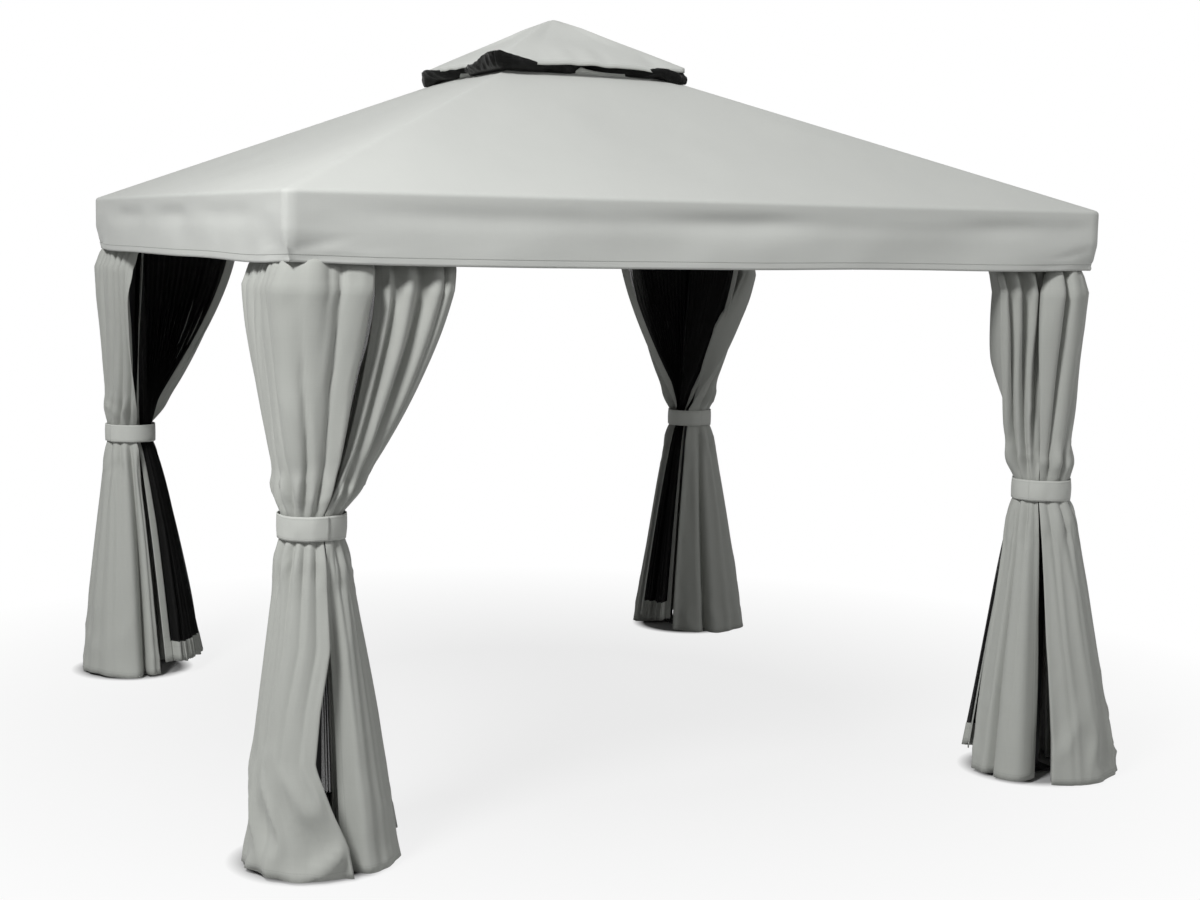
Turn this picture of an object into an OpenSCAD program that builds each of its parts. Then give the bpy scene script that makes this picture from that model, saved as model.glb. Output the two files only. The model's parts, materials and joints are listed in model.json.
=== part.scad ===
// Square garden gazebo: a tube frame under a two-tier cloth canopy, with curtains and
// insect nets drawn back to the four posts and held there by cloth tie-backs.
// Millimetres, +Z up. The origin is on the ground at the middle of the four posts, -Y is the front.

/* [Canopy] */
// Side of the square canopy at the eave
canopy_side = 3000; // [2400:10:3600]
// Height of the eave edge above the ground
eave_height = 2060; // [1900:5:2300]
// Rise from the eave to the point where the four roof slopes would meet
roof_rise = 620; // [450:5:800]
// Depth of the valance that hangs from the eave
valance_drop = 220; // [160:5:300]
// Thickness of the canopy and curtain cloth
cloth_t = 3; // [1:0.5:4]
// How far a roof panel sags at its middle
panel_sag = 10; // [0:1:30]

/* [Vent top] */
// Side of the square opening in the main canopy
vent_side = 660; // [500:10:800]
// Side of the upper canopy at its lower edge
top_side = 772; // [700:2:900]
// Vertical gap between the main roof slope and the upper canopy's edge
vent_gap = 60; // [40:1:120]
// Rise of the upper canopy from its edge to the peak
top_rise = 206; // [150:2:300]
// Radius of the hub under the peak
hub_r = 45; // [30:1:60]
// Height of the hub
hub_h = 40; // [20:1:60]

/* [Frame] */
// Distance of the post centres in from the canopy's edge
post_inset = 118; // [90:1:160]
// Outside size of the square posts
post_size = 50; // [40:1:60]
// Wall of all the square tubes
tube_wall = 1.5; // [1:0.1:3]
// How far the beams' underside lies below the eave
beam_drop = 190; // [170:5:240]
// Width of the beams, with a curtain track under each half
beam_w = 54; // [50:1:70]
// Height of the beams
beam_h = 46; // [40:1:70]
// Width of the hip rafters
rafter_w = 25; // [20:1:40]
// Depth of the hip rafters
rafter_h = 40; // [30:1:60]
// Size of the square bars of the crown ring and its uprights
crown_bar = 25; // [20:1:35]
// Size of the square top rafters
top_rafter = 20; // [15:1:30]
// Diameter of the round eave rails
rail_d = 19; // [12:1:25]

/* [Feet] */
// Side of the square foot plates
foot_side = 140; // [110:1:200]
// Thickness of the foot plates
foot_t = 5; // [3:0.5:10]
// Distance between the anchor holes, both ways
anchor_spacing = 100; // [80:1:150]
// Diameter of the anchor holes
anchor_d = 10; // [6:0.5:14]

/* [Curtains] */
// How far the left front curtain spreads along the front beam and the left beam
spread_front_left = [440, 500];
// How far the right front curtain spreads along the front beam and the right beam
spread_front_right = [250, 450];
// How far the left back curtain spreads along the back beam and the left beam
spread_back_left = [480, 450];
// How far the right back curtain spreads along the back beam and the right beam
spread_back_right = [420, 500];
// Height of the middle of the tie-backs above the ground
tie_height = 1052; // [800:2:1300]
// Depth of the tie-backs
tie_depth = 75; // [50:1:120]
// Radius of the gathered curtain inside its tie-back, at the middle of the pleats
tie_r = 95; // [85:1:130]
// Radius of the curtain at its hem, at the middle of the pleats
hem_r = 228; // [190:1:300]
// Height of the hems above the ground
hem_height = 15; // [10:1:60]
// Pleats across one gathered curtain
pleats = 6; // [4:1:8]
// Depth of the pleats from their middle at the beam, the tie-back and the hem
pleat_depth = [13, 10, 42];

/* [Hidden] */
$fn = 48;
// Clearance between pieces that lie on each other without being joined
seat = 0.3;
// Reach of a cutting body beyond what it cuts
past = 1;

canopy_half = canopy_side / 2;
vent_half = vent_side / 2;
top_half = top_side / 2;
post_at = canopy_half - post_inset;
beam_base = eave_height - beam_drop;
roof_slope = roof_rise / canopy_half;
top_slope = top_rise / top_half;
// Height of a sloping cloth's thickness, measured upright
roof_t = cloth_t * sqrt(1 + roof_slope * roof_slope);
top_t = cloth_t * sqrt(1 + top_slope * top_slope);
top_edge = roof_z(top_half) + vent_gap;
peak = top_edge + top_rise;

// Height of the main canopy's upper face, and of the upper canopy's, at a distance from the middle
function roof_z(h) = eave_height + roof_slope * (canopy_half - h);
function top_z(h) = peak - top_slope * h;

// Sag of a roof panel at shares of its width and of its length up the slope
panel_cols = 8;
panel_rows = 5;
function sag_at(u, v) = panel_sag * 256 * pow(u * (1 - u) * v * (1 - v), 2);
// How far that sag brings the panel down on the rafter's edges, and on the middle of the eave rail
hip_sag = sag_at(1 / panel_cols, 0.5) * rafter_w / sqrt(2) * panel_cols / (canopy_half + vent_half);
eave_sag = sag_at(0.5, 1 / panel_rows) * (cloth_t + rail_d / 2) * panel_rows / (canopy_half - vent_half);

// A hip bar lies under a ridge where two slopes meet: its two top edges touch the slopes
hip_angle = atan(roof_slope / sqrt(2));
top_hip_angle = atan(top_slope / sqrt(2));
hip_drop = roof_t + roof_slope * rafter_w / sqrt(8) + hip_sag + seat;
top_hip_drop = top_t + top_slope * top_rafter / sqrt(8) + seat;

// The four corners: side along X, side along Y, and how far the curtain spreads along the two beams
front_left = [-1, -1, spread_front_left];
front_right = [1, -1, spread_front_right];
back_left = [-1, 1, spread_back_left];
back_right = [1, 1, spread_back_right];
corners = [front_left, front_right, back_left, back_right];
// The four sides, as turns from the front
front = 0;
right = 90;
back = 180;
left = 270;
sides = [front, right, back, left];

frame_black = [0.13, 0.13, 0.135];
canopy_grey = [0.78, 0.79, 0.775];
curtain_grey = [0.63, 0.64, 0.62];
net_black = [0.06, 0.06, 0.06];

// Puts a corner's own frame on the post: +X and +Y run along the two beams, away from the post
module at_corner(c) {
    translate([c[0] * post_at, c[1] * post_at, 0])
        mirror([c[0] > 0 ? 1 : 0, 0, 0])
            mirror([0, c[1] > 0 ? 1 : 0, 0])
                children();
}

// Puts a front piece on another side
module at_side(s) {
    rotate([0, 0, s]) children();
}

module square_tube(side, length, wall) {
    difference() {
        translate([-side / 2, -side / 2, 0]) cube([side, side, length]);
        translate([-side / 2 + wall, -side / 2 + wall, -past])
            cube([side - 2 * wall, side - 2 * wall, length + 2 * past]);
    }
}

// A solid between two four-cornered rings of points, lower and upper, each counter-clockwise from above
module block_between(lower, upper) {
    polyhedron(
        points = concat(lower, upper),
        faces = [[0, 1, 2, 3], [7, 6, 5, 4], [4, 5, 1, 0], [5, 6, 2, 1], [6, 7, 3, 2], [7, 4, 0, 3]]
    );
}

// Feet

module foot_plates() {
    color(frame_black)
        for (c = corners)
            at_corner(c) foot_plate();
}

module foot_plate() {
    hole_at = anchor_spacing / 2;
    difference() {
        translate([-foot_side / 2, -foot_side / 2, 0]) cube([foot_side, foot_side, foot_t]);
        for (x = [-hole_at, hole_at], y = [-hole_at, hole_at])
            translate([x, y, -past]) cylinder(d = anchor_d, h = foot_t + 2 * past);
    }
}

// Posts and the joints on their tops

// Underside of the hip rafter where it crosses the post, and the post's top below it
rafter_depth_z = rafter_h / cos(hip_angle);
hip_under_post = roof_z(post_at) - hip_drop - rafter_depth_z;
joint_neck = 30;
post_top = hip_under_post - joint_neck;

module post(c) {
    color(frame_black)
        at_corner(c)
            translate([0, 0, foot_t]) square_tube(post_size, post_top - foot_t, tube_wall);
}

joint_wall = 3;
joint_sleeve = 80;
joint_gap = 0.4;
saddle_length = 90;

// A cap that sleeves over the post, with a sloping saddle on it that the hip rafter lies in
module corner_joint(c) {
    inside = post_size + 2 * joint_gap;
    outside = inside + 2 * joint_wall;
    saddle_in = rafter_w + 2 * seat;
    saddle_out = saddle_in + 2 * joint_wall;
    cheek = rafter_h * 0.6;
    color(frame_black)
        at_corner(c) {
            difference() {
                translate([-outside / 2, -outside / 2, post_top - joint_sleeve])
                    cube([outside, outside, joint_sleeve + joint_wall]);
                translate([-inside / 2, -inside / 2, post_top - joint_sleeve - past])
                    cube([inside, inside, joint_sleeve + past]);
            }
            difference() {
                rotate([0, 0, 45])
                    translate([-post_size * 0.4, -rafter_w / 2, post_top + joint_wall / 2])
                        cube([post_size * 0.8, rafter_w, joint_neck + cheek]);
                along_hip(hip_under_post, hip_angle)
                    translate([-saddle_length, -saddle_length, -seat - joint_wall / 2])
                        cube([2 * saddle_length, 2 * saddle_length, 2 * saddle_length]);
            }
            along_hip(hip_under_post, hip_angle)
                translate([-saddle_length / 2, 0, -seat]) rotate([90, 0, 90])
                    linear_extrude(saddle_length)
                        difference() {
                            translate([-saddle_out / 2, -joint_wall]) square([saddle_out, cheek + joint_wall]);
                            translate([-saddle_in / 2, 0]) square([saddle_in, cheek + past]);
                        }
        }
}

// In a corner's frame: +X climbs along the hip from a point above the post at the given height
module along_hip(height, angle) {
    translate([0, 0, height]) rotate([0, 0, 45]) rotate([0, -angle, 0]) children();
}

// Beams

track_slot = 8;
track_room = 14;
track_lip = 3;
track_h = 16;
track_at = beam_w / 4;

// Tube section with two curtain tracks, open below
module beam_section() {
    difference() {
        translate([-beam_w / 2, 0]) square([beam_w, beam_h]);
        translate([-beam_w / 2 + tube_wall, track_h + track_lip + tube_wall])
            square([beam_w - 2 * tube_wall, beam_h - track_h - track_lip - 2 * tube_wall]);
        for (x = [-track_at, track_at]) {
            translate([x - track_room / 2, track_lip]) square([track_room, track_h]);
            translate([x - track_slot / 2, -past]) square([track_slot, track_lip + 2 * past]);
        }
    }
}

module beam(s) {
    length = 2 * post_at - post_size;
    color(frame_black)
        at_side(s)
            translate([-length / 2, -post_at, beam_base])
                rotate([90, 0, 90]) linear_extrude(length) beam_section();
}

// Rafters, eave rails and the crown

// Distance from the middle, along X and along Y, of the rafters' outer ends
hip_end = canopy_half - cloth_t - rail_d / 2;

// The hip bar from the eave to the middle, as a solid bar with the given growth on every side
module hip_bar(grow) {
    length = canopy_half * sqrt(2) / cos(hip_angle);
    translate([0, 0, roof_z(post_at) - hip_drop])
        rotate([0, 0, 45]) rotate([0, -hip_angle, 0])
            translate([-length, -rafter_w / 2 - grow, -rafter_h - grow])
                cube([2 * length, rafter_w + 2 * grow, rafter_h + 2 * grow]);
}

module hip_rafter(c) {
    length = canopy_half * sqrt(2) / cos(hip_angle);
    color(frame_black)
        intersection() {
            difference() {
                at_corner(c) hip_bar(0);
                at_corner(c)
                    translate([0, 0, roof_z(post_at) - hip_drop])
                        rotate([0, 0, 45]) rotate([0, -hip_angle, 0])
                            translate([-2 * length, -rafter_w / 2 + tube_wall, -rafter_h + tube_wall])
                                cube([4 * length, rafter_w - 2 * tube_wall, rafter_h - 2 * tube_wall]);
                translate([-crown_half - seat, -crown_half - seat, 0])
                    cube([2 * (crown_half + seat), 2 * (crown_half + seat), 2 * peak]);
            }
            translate([c[0] > 0 ? 0 : -hip_end, c[1] > 0 ? 0 : -hip_end, 0])
                cube([hip_end, hip_end, 2 * peak]);
        }
}

rail_at = canopy_half - cloth_t - seat - rail_d / 2;
rail_z = roof_z(rail_at) - roof_t - eave_sag - (rail_d / 2 + seat) * sqrt(1 + roof_slope * roof_slope);

// Round rails that hold the canopy's edge out between the rafters' ends
module eave_rails() {
    color(frame_black)
        for (s = sides)
            at_side(s)
                difference() {
                    translate([-rail_at, -rail_at, rail_z]) rotate([0, 90, 0])
                        difference() {
                            cylinder(d = rail_d, h = 2 * rail_at);
                            translate([0, 0, -past])
                                cylinder(d = rail_d - 2 * tube_wall, h = 2 * (rail_at + past));
                        }
                    rail_end_cut();
                    mirror([1, 0, 0]) rail_end_cut();
                }
}

// Takes off the end of a rail along the side of the hip rafter that it meets
module rail_end_cut() {
    reach = 4 * (rail_d + rafter_w);
    translate([-rail_at, -rail_at, rail_z - rail_d])
        rotate([0, 0, 45])
            translate([-reach / 2, -rafter_w / 2 - seat, 0]) cube([reach, reach, 2 * rail_d]);
}

crown_half = vent_half + crown_bar / 5;
crown_top = roof_z(crown_half) - roof_t - seat;
upright_at = crown_half - crown_bar / 2;

// Square ring that the hip rafters meet, with an upright on each corner for the top rafters
module crown_ring() {
    inner = crown_half - crown_bar;
    color(frame_black) {
        difference() {
            translate([-crown_half, -crown_half, crown_top - crown_bar])
                cube([2 * crown_half, 2 * crown_half, crown_bar]);
            translate([-inner, -inner, crown_top - crown_bar - past])
                cube([2 * inner, 2 * inner, crown_bar + 2 * past]);
        }
        difference() {
            for (c = corners)
                translate([c[0] * upright_at - crown_bar / 2, c[1] * upright_at - crown_bar / 2, crown_top])
                    cube([crown_bar, crown_bar, top_z(upright_at) - crown_top - top_hip_drop]);
            for (c = corners)
                at_corner(c) top_hip_bar(seat, top_rafter);
        }
    }
}

// The top rafter's bar, running on beyond both ends
module top_hip_bar(grow, size) {
    length = top_side;
    translate([post_at, post_at, peak - top_hip_drop])
        rotate([0, 0, 45]) rotate([0, -top_hip_angle, 0])
            translate([-length, -size / 2 - grow, -top_rafter / 2 - size / 2 - grow])
                cube([2 * length, size + 2 * grow, size + 2 * grow + (grow > 0 ? top_rafter : 0)]);
}

top_rafter_end = upright_at + crown_bar / 2;

module top_rafters() {
    color(frame_black)
        for (c = corners)
            intersection() {
                difference() {
                    at_corner(c) top_hip_bar(0, top_rafter);
                    at_corner(c) top_hip_bar(0, top_rafter - 2 * tube_wall);
                    cylinder(r = hub_r + seat, h = 2 * peak);
                }
                translate([c[0] > 0 ? 0 : -top_rafter_end, c[1] > 0 ? 0 : -top_rafter_end, 0])
                    cube([top_rafter_end, top_rafter_end, 2 * peak]);
            }
}

hub_top = top_z(hub_r) - top_t - seat;

// Turned hub with a rounded crown that the peak of the upper canopy lies on
module peak_hub() {
    dome = peak - top_t - seat - hub_top;
    dome_r = hub_r * 0.6;
    color(frame_black)
        rotate_extrude()
            polygon([[0, hub_top - hub_h], [hub_r, hub_top - hub_h], [hub_r, hub_top],
                     [dome_r, hub_top + dome * 0.38], [0, hub_top + dome * 0.38]]);
}

// Cloth canopy

// A roof panel as a sheet that sags between the hips: rows of points across the panel, eave to vent
function panel_point(i, j, drop) =
    let (u = i / panel_cols, v = j / panel_rows, h = canopy_half + (vent_half - canopy_half) * v)
    [(2 * u - 1) * h, -h, roof_z(h) - drop - sag_at(u, v)];

module roof_panel(s) {
    upper = [for (j = [0:panel_rows]) [for (i = [0:panel_cols]) panel_point(i, j, 0)]];
    lower = [for (j = [0:panel_rows]) [for (i = [0:panel_cols]) panel_point(i, j, roof_t)]];
    color(canopy_grey) at_side(s) sheet(upper, lower);
}

module valance(s) {
    outer = canopy_half;
    inner = canopy_half - cloth_t;
    base = eave_height - valance_drop;
    head = eave_height - roof_t;
    rise = roof_slope * cloth_t;
    color(canopy_grey)
        at_side(s)
            block_between(
                [[-outer, -outer, base], [outer, -outer, base], [inner, -inner, base], [-inner, -inner, base]],
                [[-outer, -outer, head], [outer, -outer, head],
                 [inner, -inner, head + rise], [-inner, -inner, head + rise]]
            );
}

// The four slopes of the upper canopy, with a fine seam between them
module top_canopy() {
    color(canopy_grey)
        for (s = sides)
            at_side(s) top_panel(past, seat / 2);
}

// One slope of the upper canopy, from its lower edge up to the tip
module top_panel(tip, seam) {
    ring = [[seam - top_half, -top_half], [top_half - seam, -top_half], [tip - seam, -tip], [seam - tip, -tip]];
    block_between(
        [for (p = ring) [p[0], p[1], top_z(-p[1]) - top_t]],
        [for (p = ring) [p[0], p[1], top_z(-p[1])]]
    );
}

net_t = cloth_t * 2 / 3;

// Band of netting that closes the gap between the two canopies
module vent_netting() {
    foot = vent_half + crown_bar / 2;
    head = top_half - crown_bar / 2;
    foot_z = roof_z(foot - net_t) + seat;
    head_z = top_z(head) - top_t - seat;
    color(net_black)
        difference() {
            square_pyramid_up(foot, foot_z, head, head_z);
            square_pyramid_up(foot - net_t, foot_z - past, head - net_t, head_z + past);
        }
}

module square_pyramid_up(half_low, low, half_high, high) {
    block_between(
        [[-half_low, -half_low, low], [half_low, -half_low, low],
         [half_low, half_low, low], [-half_low, half_low, low]],
        [[-half_high, -half_high, high], [half_high, -half_high, high],
         [half_high, half_high, high], [-half_high, half_high, high]]
    );
}

// Curtains and nets

// A closed sheet between two grids of points that share their rows and columns
module sheet(front, back) {
    rows = len(front);
    cols = len(front[0]);
    n = rows * cols;
    flat = [for (r = front) each r];
    flat_back = [for (r = back) each r];
    skin = [for (j = [0:rows - 2], i = [0:cols - 2])
        let (a = j * cols + i, b = a + 1, d = a + cols, e = d + 1) each [[a, d, e], [a, e, b]]];
    edge = concat(
        [for (i = [0:cols - 2]) [i, i + 1]],
        [for (j = [0:rows - 2]) [j * cols + cols - 1, (j + 1) * cols + cols - 1]],
        [for (i = [cols - 1:-1:1]) [(rows - 1) * cols + i, (rows - 1) * cols + i - 1]],
        [for (j = [rows - 1:-1:1]) [j * cols, (j - 1) * cols]]
    );
    polyhedron(
        points = concat(flat, flat_back),
        faces = concat(
            skin,
            [for (f = skin) [f[2] + n, f[1] + n, f[0] + n]],
            [for (e = edge) each [[e[0], e[1], e[1] + n], [e[0], e[1] + n, e[0] + n]]]
        )
    );
}

curtain_top = beam_base - seat;
tie_top = tie_height + tie_depth / 2;
tie_base = tie_height - tie_depth / 2;
// Heights of a hanging cloth's rows, as shares of the stretch above and below the tie-back
shares_above = [0, 0.2, 0.4, 0.6, 0.8, 0.93, 1];
shares_below = [0, 0.12, 0.35, 0.65, 1];
cloth_rows = concat(
    [for (t = shares_above) curtain_top + (tie_top - curtain_top) * t],
    [for (t = shares_below) tie_base + (hem_height - tie_base) * t]
);

// Share of the way from the beam to the tie-back, and from the tie-back to the hem, at a height
function gathered(z) = pow(max(0, min(1, (curtain_top - z) / (curtain_top - tie_top))), 1.3);
function flared(z) = pow(max(0, min(1, (tie_base - z) / (tie_base - hem_height))), 0.8);
function between(a, b, t) = a + (b - a) * t;
// Rounded step from 0 to x, which turns the corner of the L that the curtain's head makes
function soft_step(x) = (x + sqrt(x * x + 0.01)) / 2;

// Plan of the cloth's middle line at its head: an L along the two beams, past the post on one side.
// Across runs from -1 at the end on the Y beam to 1 at the end on the X beam.
function head_plan(across, spread, at_track, at_post) =
    let (o = between(at_post, at_track, min(1, 2 * abs(across))))
    [o + (spread[0] - o) * soft_step(across), o + (spread[1] - o) * soft_step(-across)];
// Plan where it is gathered: an arc about the post, that starts at an angle and opens to both sides
function arc_plan(across, r, start, opening) =
    [r * cos(start + across * opening), r * sin(start + across * opening)];

function cloth_plan(across, z, head, tie, hem) =
    let (g = gathered(z), f = flared(z))
    f > 0 ? between(tie, hem, f) : between(head, tie, g);

// What a curtain and a net need: spread, distance from the beam's middle at the track and round the
// post, radius at the tie-back and the hem, the middle direction of the arc, its opening at the
// tie-back and the hem, and the depth of the pleats at the head, the tie-back and the hem
function curtain_shape(spread) =
    [spread, -track_at, -post_size * 1.4, tie_r, hem_r, 225, 112, 125, pleat_depth];
function net_shape(spread) =
    [spread * 0.95, track_at, post_size * 0.62, tie_r * 0.66, hem_r * 0.76, 45, -58, -56, pleat_depth * 0.6];

function middle_point(across, z, s) =
    cloth_plan(
        across, z,
        head_plan(across, s[0], s[1], s[2]),
        arc_plan(across, s[3], s[5], s[6]),
        arc_plan(across, s[4], s[5], s[7])
    );
nudge = 0.004;
function plan_normal(a, b) = [b[1] - a[1], a[0] - b[0]] / norm(b - a);
function pleat(across, z, s) =
    let (d = s[8], g = gathered(z), f = flared(z))
    (f > 0 ? between(d[1], d[2], f) : between(d[0], d[1], g)) * cos(180 * pleats * across);
function folded_point(across, z, s) =
    middle_point(across, z, s)
    + plan_normal(middle_point(across - nudge, z, s), middle_point(across + nudge, z, s)) * pleat(across, z, s);
function face_point(across, z, s, offset) =
    let (p = folded_point(across, z, s)
             + plan_normal(folded_point(across - nudge, z, s), folded_point(across + nudge, z, s)) * offset)
    [p[0], p[1], z];

// A hanging cloth, drawn in to the tie-back and flaring out to its hem
module hanging_cloth(shape, thickness, steps) {
    places = [for (i = [0:steps]) 2 * i / steps - 1];
    front = [for (z = cloth_rows) [for (a = places) face_point(a, z, shape, thickness / 2)]];
    back = [for (z = cloth_rows) [for (a = places) face_point(a, z, shape, -thickness / 2)]];
    sheet(front, back);
}

curtain_steps = 6 * pleats;
net_steps = 4 * pleats;

module curtain(c) {
    color(curtain_grey) at_corner(c) hanging_cloth(curtain_shape(c[2]), cloth_t, curtain_steps);
}

module net(c) {
    color(net_black) at_corner(c) hanging_cloth(net_shape(c[2]), net_t, net_steps);
}

module tie_back(c) {
    inside = tie_r + pleat_depth[1] + cloth_t / 2 + seat;
    color(curtain_grey)
        at_corner(c)
            translate([0, 0, tie_base])
                rotate_extrude()
                    translate([inside, 0]) square([cloth_t, tie_depth]);
}

foot_plates();
post(front_left);  // post_front_left
post(front_right);  // post_front_right
post(back_left);  // post_back_left
post(back_right);  // post_back_right
beam(front);  // beam_front
beam(right);  // beam_right
beam(back);  // beam_back
beam(left);  // beam_left
corner_joint(front_left);  // corner_joint_front_left
corner_joint(front_right);  // corner_joint_front_right
corner_joint(back_left);  // corner_joint_back_left
corner_joint(back_right);  // corner_joint_back_right
hip_rafter(front_left);  // hip_rafter_front_left
hip_rafter(front_right);  // hip_rafter_front_right
hip_rafter(back_left);  // hip_rafter_back_left
hip_rafter(back_right);  // hip_rafter_back_right
eave_rails();
crown_ring();
top_rafters();
peak_hub();
roof_panel(front);  // roof_panel_front
roof_panel(right);  // roof_panel_right
roof_panel(back);  // roof_panel_back
roof_panel(left);  // roof_panel_left
valance(front);  // valance_front
valance(right);  // valance_right
valance(back);  // valance_back
valance(left);  // valance_left
top_canopy();
vent_netting();
curtain(front_left);  // curtain_front_left
curtain(front_right);  // curtain_front_right
curtain(back_left);  // curtain_back_left
curtain(back_right);  // curtain_back_right
net(front_left);  // net_front_left
net(front_right);  // net_front_right
net(back_left);  // net_back_left
net(back_right);  // net_back_right
tie_back(front_left);  // tie_back_front_left
tie_back(front_right);  // tie_back_front_right
tie_back(back_left);  // tie_back_back_left
tie_back(back_right);  // tie_back_back_right
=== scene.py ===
"""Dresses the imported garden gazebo: canopy cloth, curtains, nets, tie-backs and frame fittings."""

import json
import logging
import math
from dataclasses import dataclass, field
from enum import Enum
from typing import Any, Callable, Optional, Sequence, Union

import bmesh
import bpy
import numpy as np
from mathutils import Matrix, Vector

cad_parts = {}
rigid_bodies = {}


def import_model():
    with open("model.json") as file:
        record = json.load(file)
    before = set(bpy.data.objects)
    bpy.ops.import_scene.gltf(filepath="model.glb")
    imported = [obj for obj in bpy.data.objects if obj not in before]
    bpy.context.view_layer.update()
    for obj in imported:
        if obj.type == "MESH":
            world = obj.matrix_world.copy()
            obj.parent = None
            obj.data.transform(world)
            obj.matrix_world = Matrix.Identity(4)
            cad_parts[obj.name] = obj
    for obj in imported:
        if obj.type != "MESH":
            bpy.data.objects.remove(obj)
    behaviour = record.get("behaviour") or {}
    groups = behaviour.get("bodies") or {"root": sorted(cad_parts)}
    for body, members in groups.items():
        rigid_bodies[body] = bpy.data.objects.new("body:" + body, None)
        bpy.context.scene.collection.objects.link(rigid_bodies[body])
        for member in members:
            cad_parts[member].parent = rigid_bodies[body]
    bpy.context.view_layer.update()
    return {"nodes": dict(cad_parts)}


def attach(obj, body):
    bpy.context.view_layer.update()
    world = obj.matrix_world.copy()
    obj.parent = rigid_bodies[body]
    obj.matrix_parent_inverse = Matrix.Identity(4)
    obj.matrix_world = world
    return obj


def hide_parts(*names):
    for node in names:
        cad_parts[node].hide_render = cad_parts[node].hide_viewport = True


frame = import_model()

logging.basicConfig(level=logging.INFO, format="%(name)s: %(message)s")
log = logging.getLogger("gazebo")

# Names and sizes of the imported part, in metres

ROOT = "root"
SIDES = ("front", "right", "back", "left")
POST_AT = 1.382
BEAM_UNDER = 1.870
TRACK = 0.0135
EAVE = 1.5
EAVE_Z = 2.060
ROOF_SLOPE = 0.620 / 1.5
VALANCE_BASE = 1.842
VENT_HALF = 0.330
TOP_HALF = 0.386
TOP_EDGE_Z = 2.5805
PEAK_Z = 2.7865
TIE_Z = 1.052
TIE_DEPTH = 0.075

# Sizes that several cloths share

CLOTH = 0.0014
PLEAT_COLUMNS = 7

Colour = tuple[float, float, float]


# Shader tools


class Graph:
    """A node tree built in code, with one method that adds any node."""

    def __init__(self, tree: bpy.types.NodeTree) -> None:
        """Takes a tree and empties it.

        Args:
            tree: The tree.
        """
        self.nodes = tree.nodes
        self.links = tree.links
        self.nodes.clear()

    def add(self, kind: str, settings: Optional[dict[str, Any]] = None,
            inputs: Optional[dict[Union[str, int], Any]] = None) -> bpy.types.Node:
        """Adds a node.

        Args:
            kind: The node's type.
            settings: Its properties, set first.
            inputs: Values, or wires and sockets to link, by the input's name or number.

        Returns:
            The node.
        """
        node = self.nodes.new(kind)
        for key, value in (settings or {}).items():
            setattr(node, key, value)
        for key, value in (inputs or {}).items():
            source = value.socket if isinstance(value, Wire) else value
            if isinstance(source, bpy.types.NodeSocket):
                self.links.new(source, node.inputs[key])
            else:
                node.inputs[key].default_value = source
        return node


class Tree(Graph):
    """The shader tree of a material or a world."""

    def __init__(self, owner: Union[bpy.types.Material, bpy.types.World]) -> None:
        """Takes an owner and empties its tree.

        Args:
            owner: The material or world.
        """
        owner.use_nodes = True
        super().__init__(owner.node_tree)
        self.owner = owner

    def wire(self, kind: str, settings: Optional[dict[str, Any]] = None,
             inputs: Optional[dict[Union[str, int], Any]] = None, out: Union[str, int] = 0) -> "Wire":
        """Adds a node and gives one of its outputs.

        Args:
            kind: The node's type.
            settings: As in add.
            inputs: As in add.
            out: The output's name or number.

        Returns:
            The output, wrapped.
        """
        return Wire(self, self.add(kind, settings, inputs).outputs[out])

    def wires(self, kind: str, inputs: Optional[dict[Union[str, int], Any]] = None,
              outs: Sequence[Union[str, int]] = (0, 1, 2)) -> list["Wire"]:
        """Adds a node and gives several of its outputs.

        Args:
            kind: The node's type.
            inputs: As in add.
            outs: The outputs' names or numbers.

        Returns:
            The outputs, wrapped.
        """
        node = self.add(kind, None, inputs)
        return [Wire(self, node.outputs[out]) for out in outs]

    def place(self) -> "Wire":
        """Place on the piece, in its own coordinates."""
        return self.wire("ShaderNodeTexCoord", None, None, "Object")

    def noise(self, place: "Wire", scale: float, detail: float, roughness: float = 0.5) -> "Wire":
        """Adds a noise texture.

        Args:
            place: Where it is read.
            scale: Its scale.
            detail: Its detail.
            roughness: Its roughness.

        Returns:
            A value round 0.5.
        """
        return self.wire("ShaderNodeTexNoise", None, {
            "Vector": place, "Scale": scale, "Detail": detail, "Roughness": roughness})

    def bump(self, height: "Wire", strength: float, distance: float) -> "Wire":
        """Adds a bump.

        Args:
            height: Height of the relief.
            strength: The bump's strength.
            distance: Depth that a height of 1 stands for.

        Returns:
            The normal.
        """
        return self.wire("ShaderNodeBump", None, {
            "Strength": strength, "Distance": distance, "Height": height})

    def mix(self, factor: Union["Wire", float], one: Any, two: Any) -> "Wire":
        """Mixes two colours.

        Args:
            factor: How much of the second.
            one: First colour, as a tuple or a wire.
            two: Second colour.

        Returns:
            The mixed colour.
        """
        settings = {"data_type": "RGBA", "blend_type": "MIX"}
        return self.wire("ShaderNodeMix", settings, {0: factor, 6: rgba(one), 7: rgba(two)}, 2)

    def principled(self, inputs: dict[str, Any]) -> bpy.types.Material:
        """Ends a material in the Principled shader.

        Args:
            inputs: The shader's inputs.

        Returns:
            The material.
        """
        return self.end(self.wire("ShaderNodeBsdfPrincipled", None, inputs))

    def end(self, shader: "Wire",
            output: str = "ShaderNodeOutputMaterial") -> Union[bpy.types.Material, bpy.types.World]:
        """Ends the tree in a shader.

        Args:
            shader: The shader.
            output: Type of the output node.

        Returns:
            The material or world.
        """
        self.add(output, None, {"Surface": shader})
        return self.owner


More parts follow.
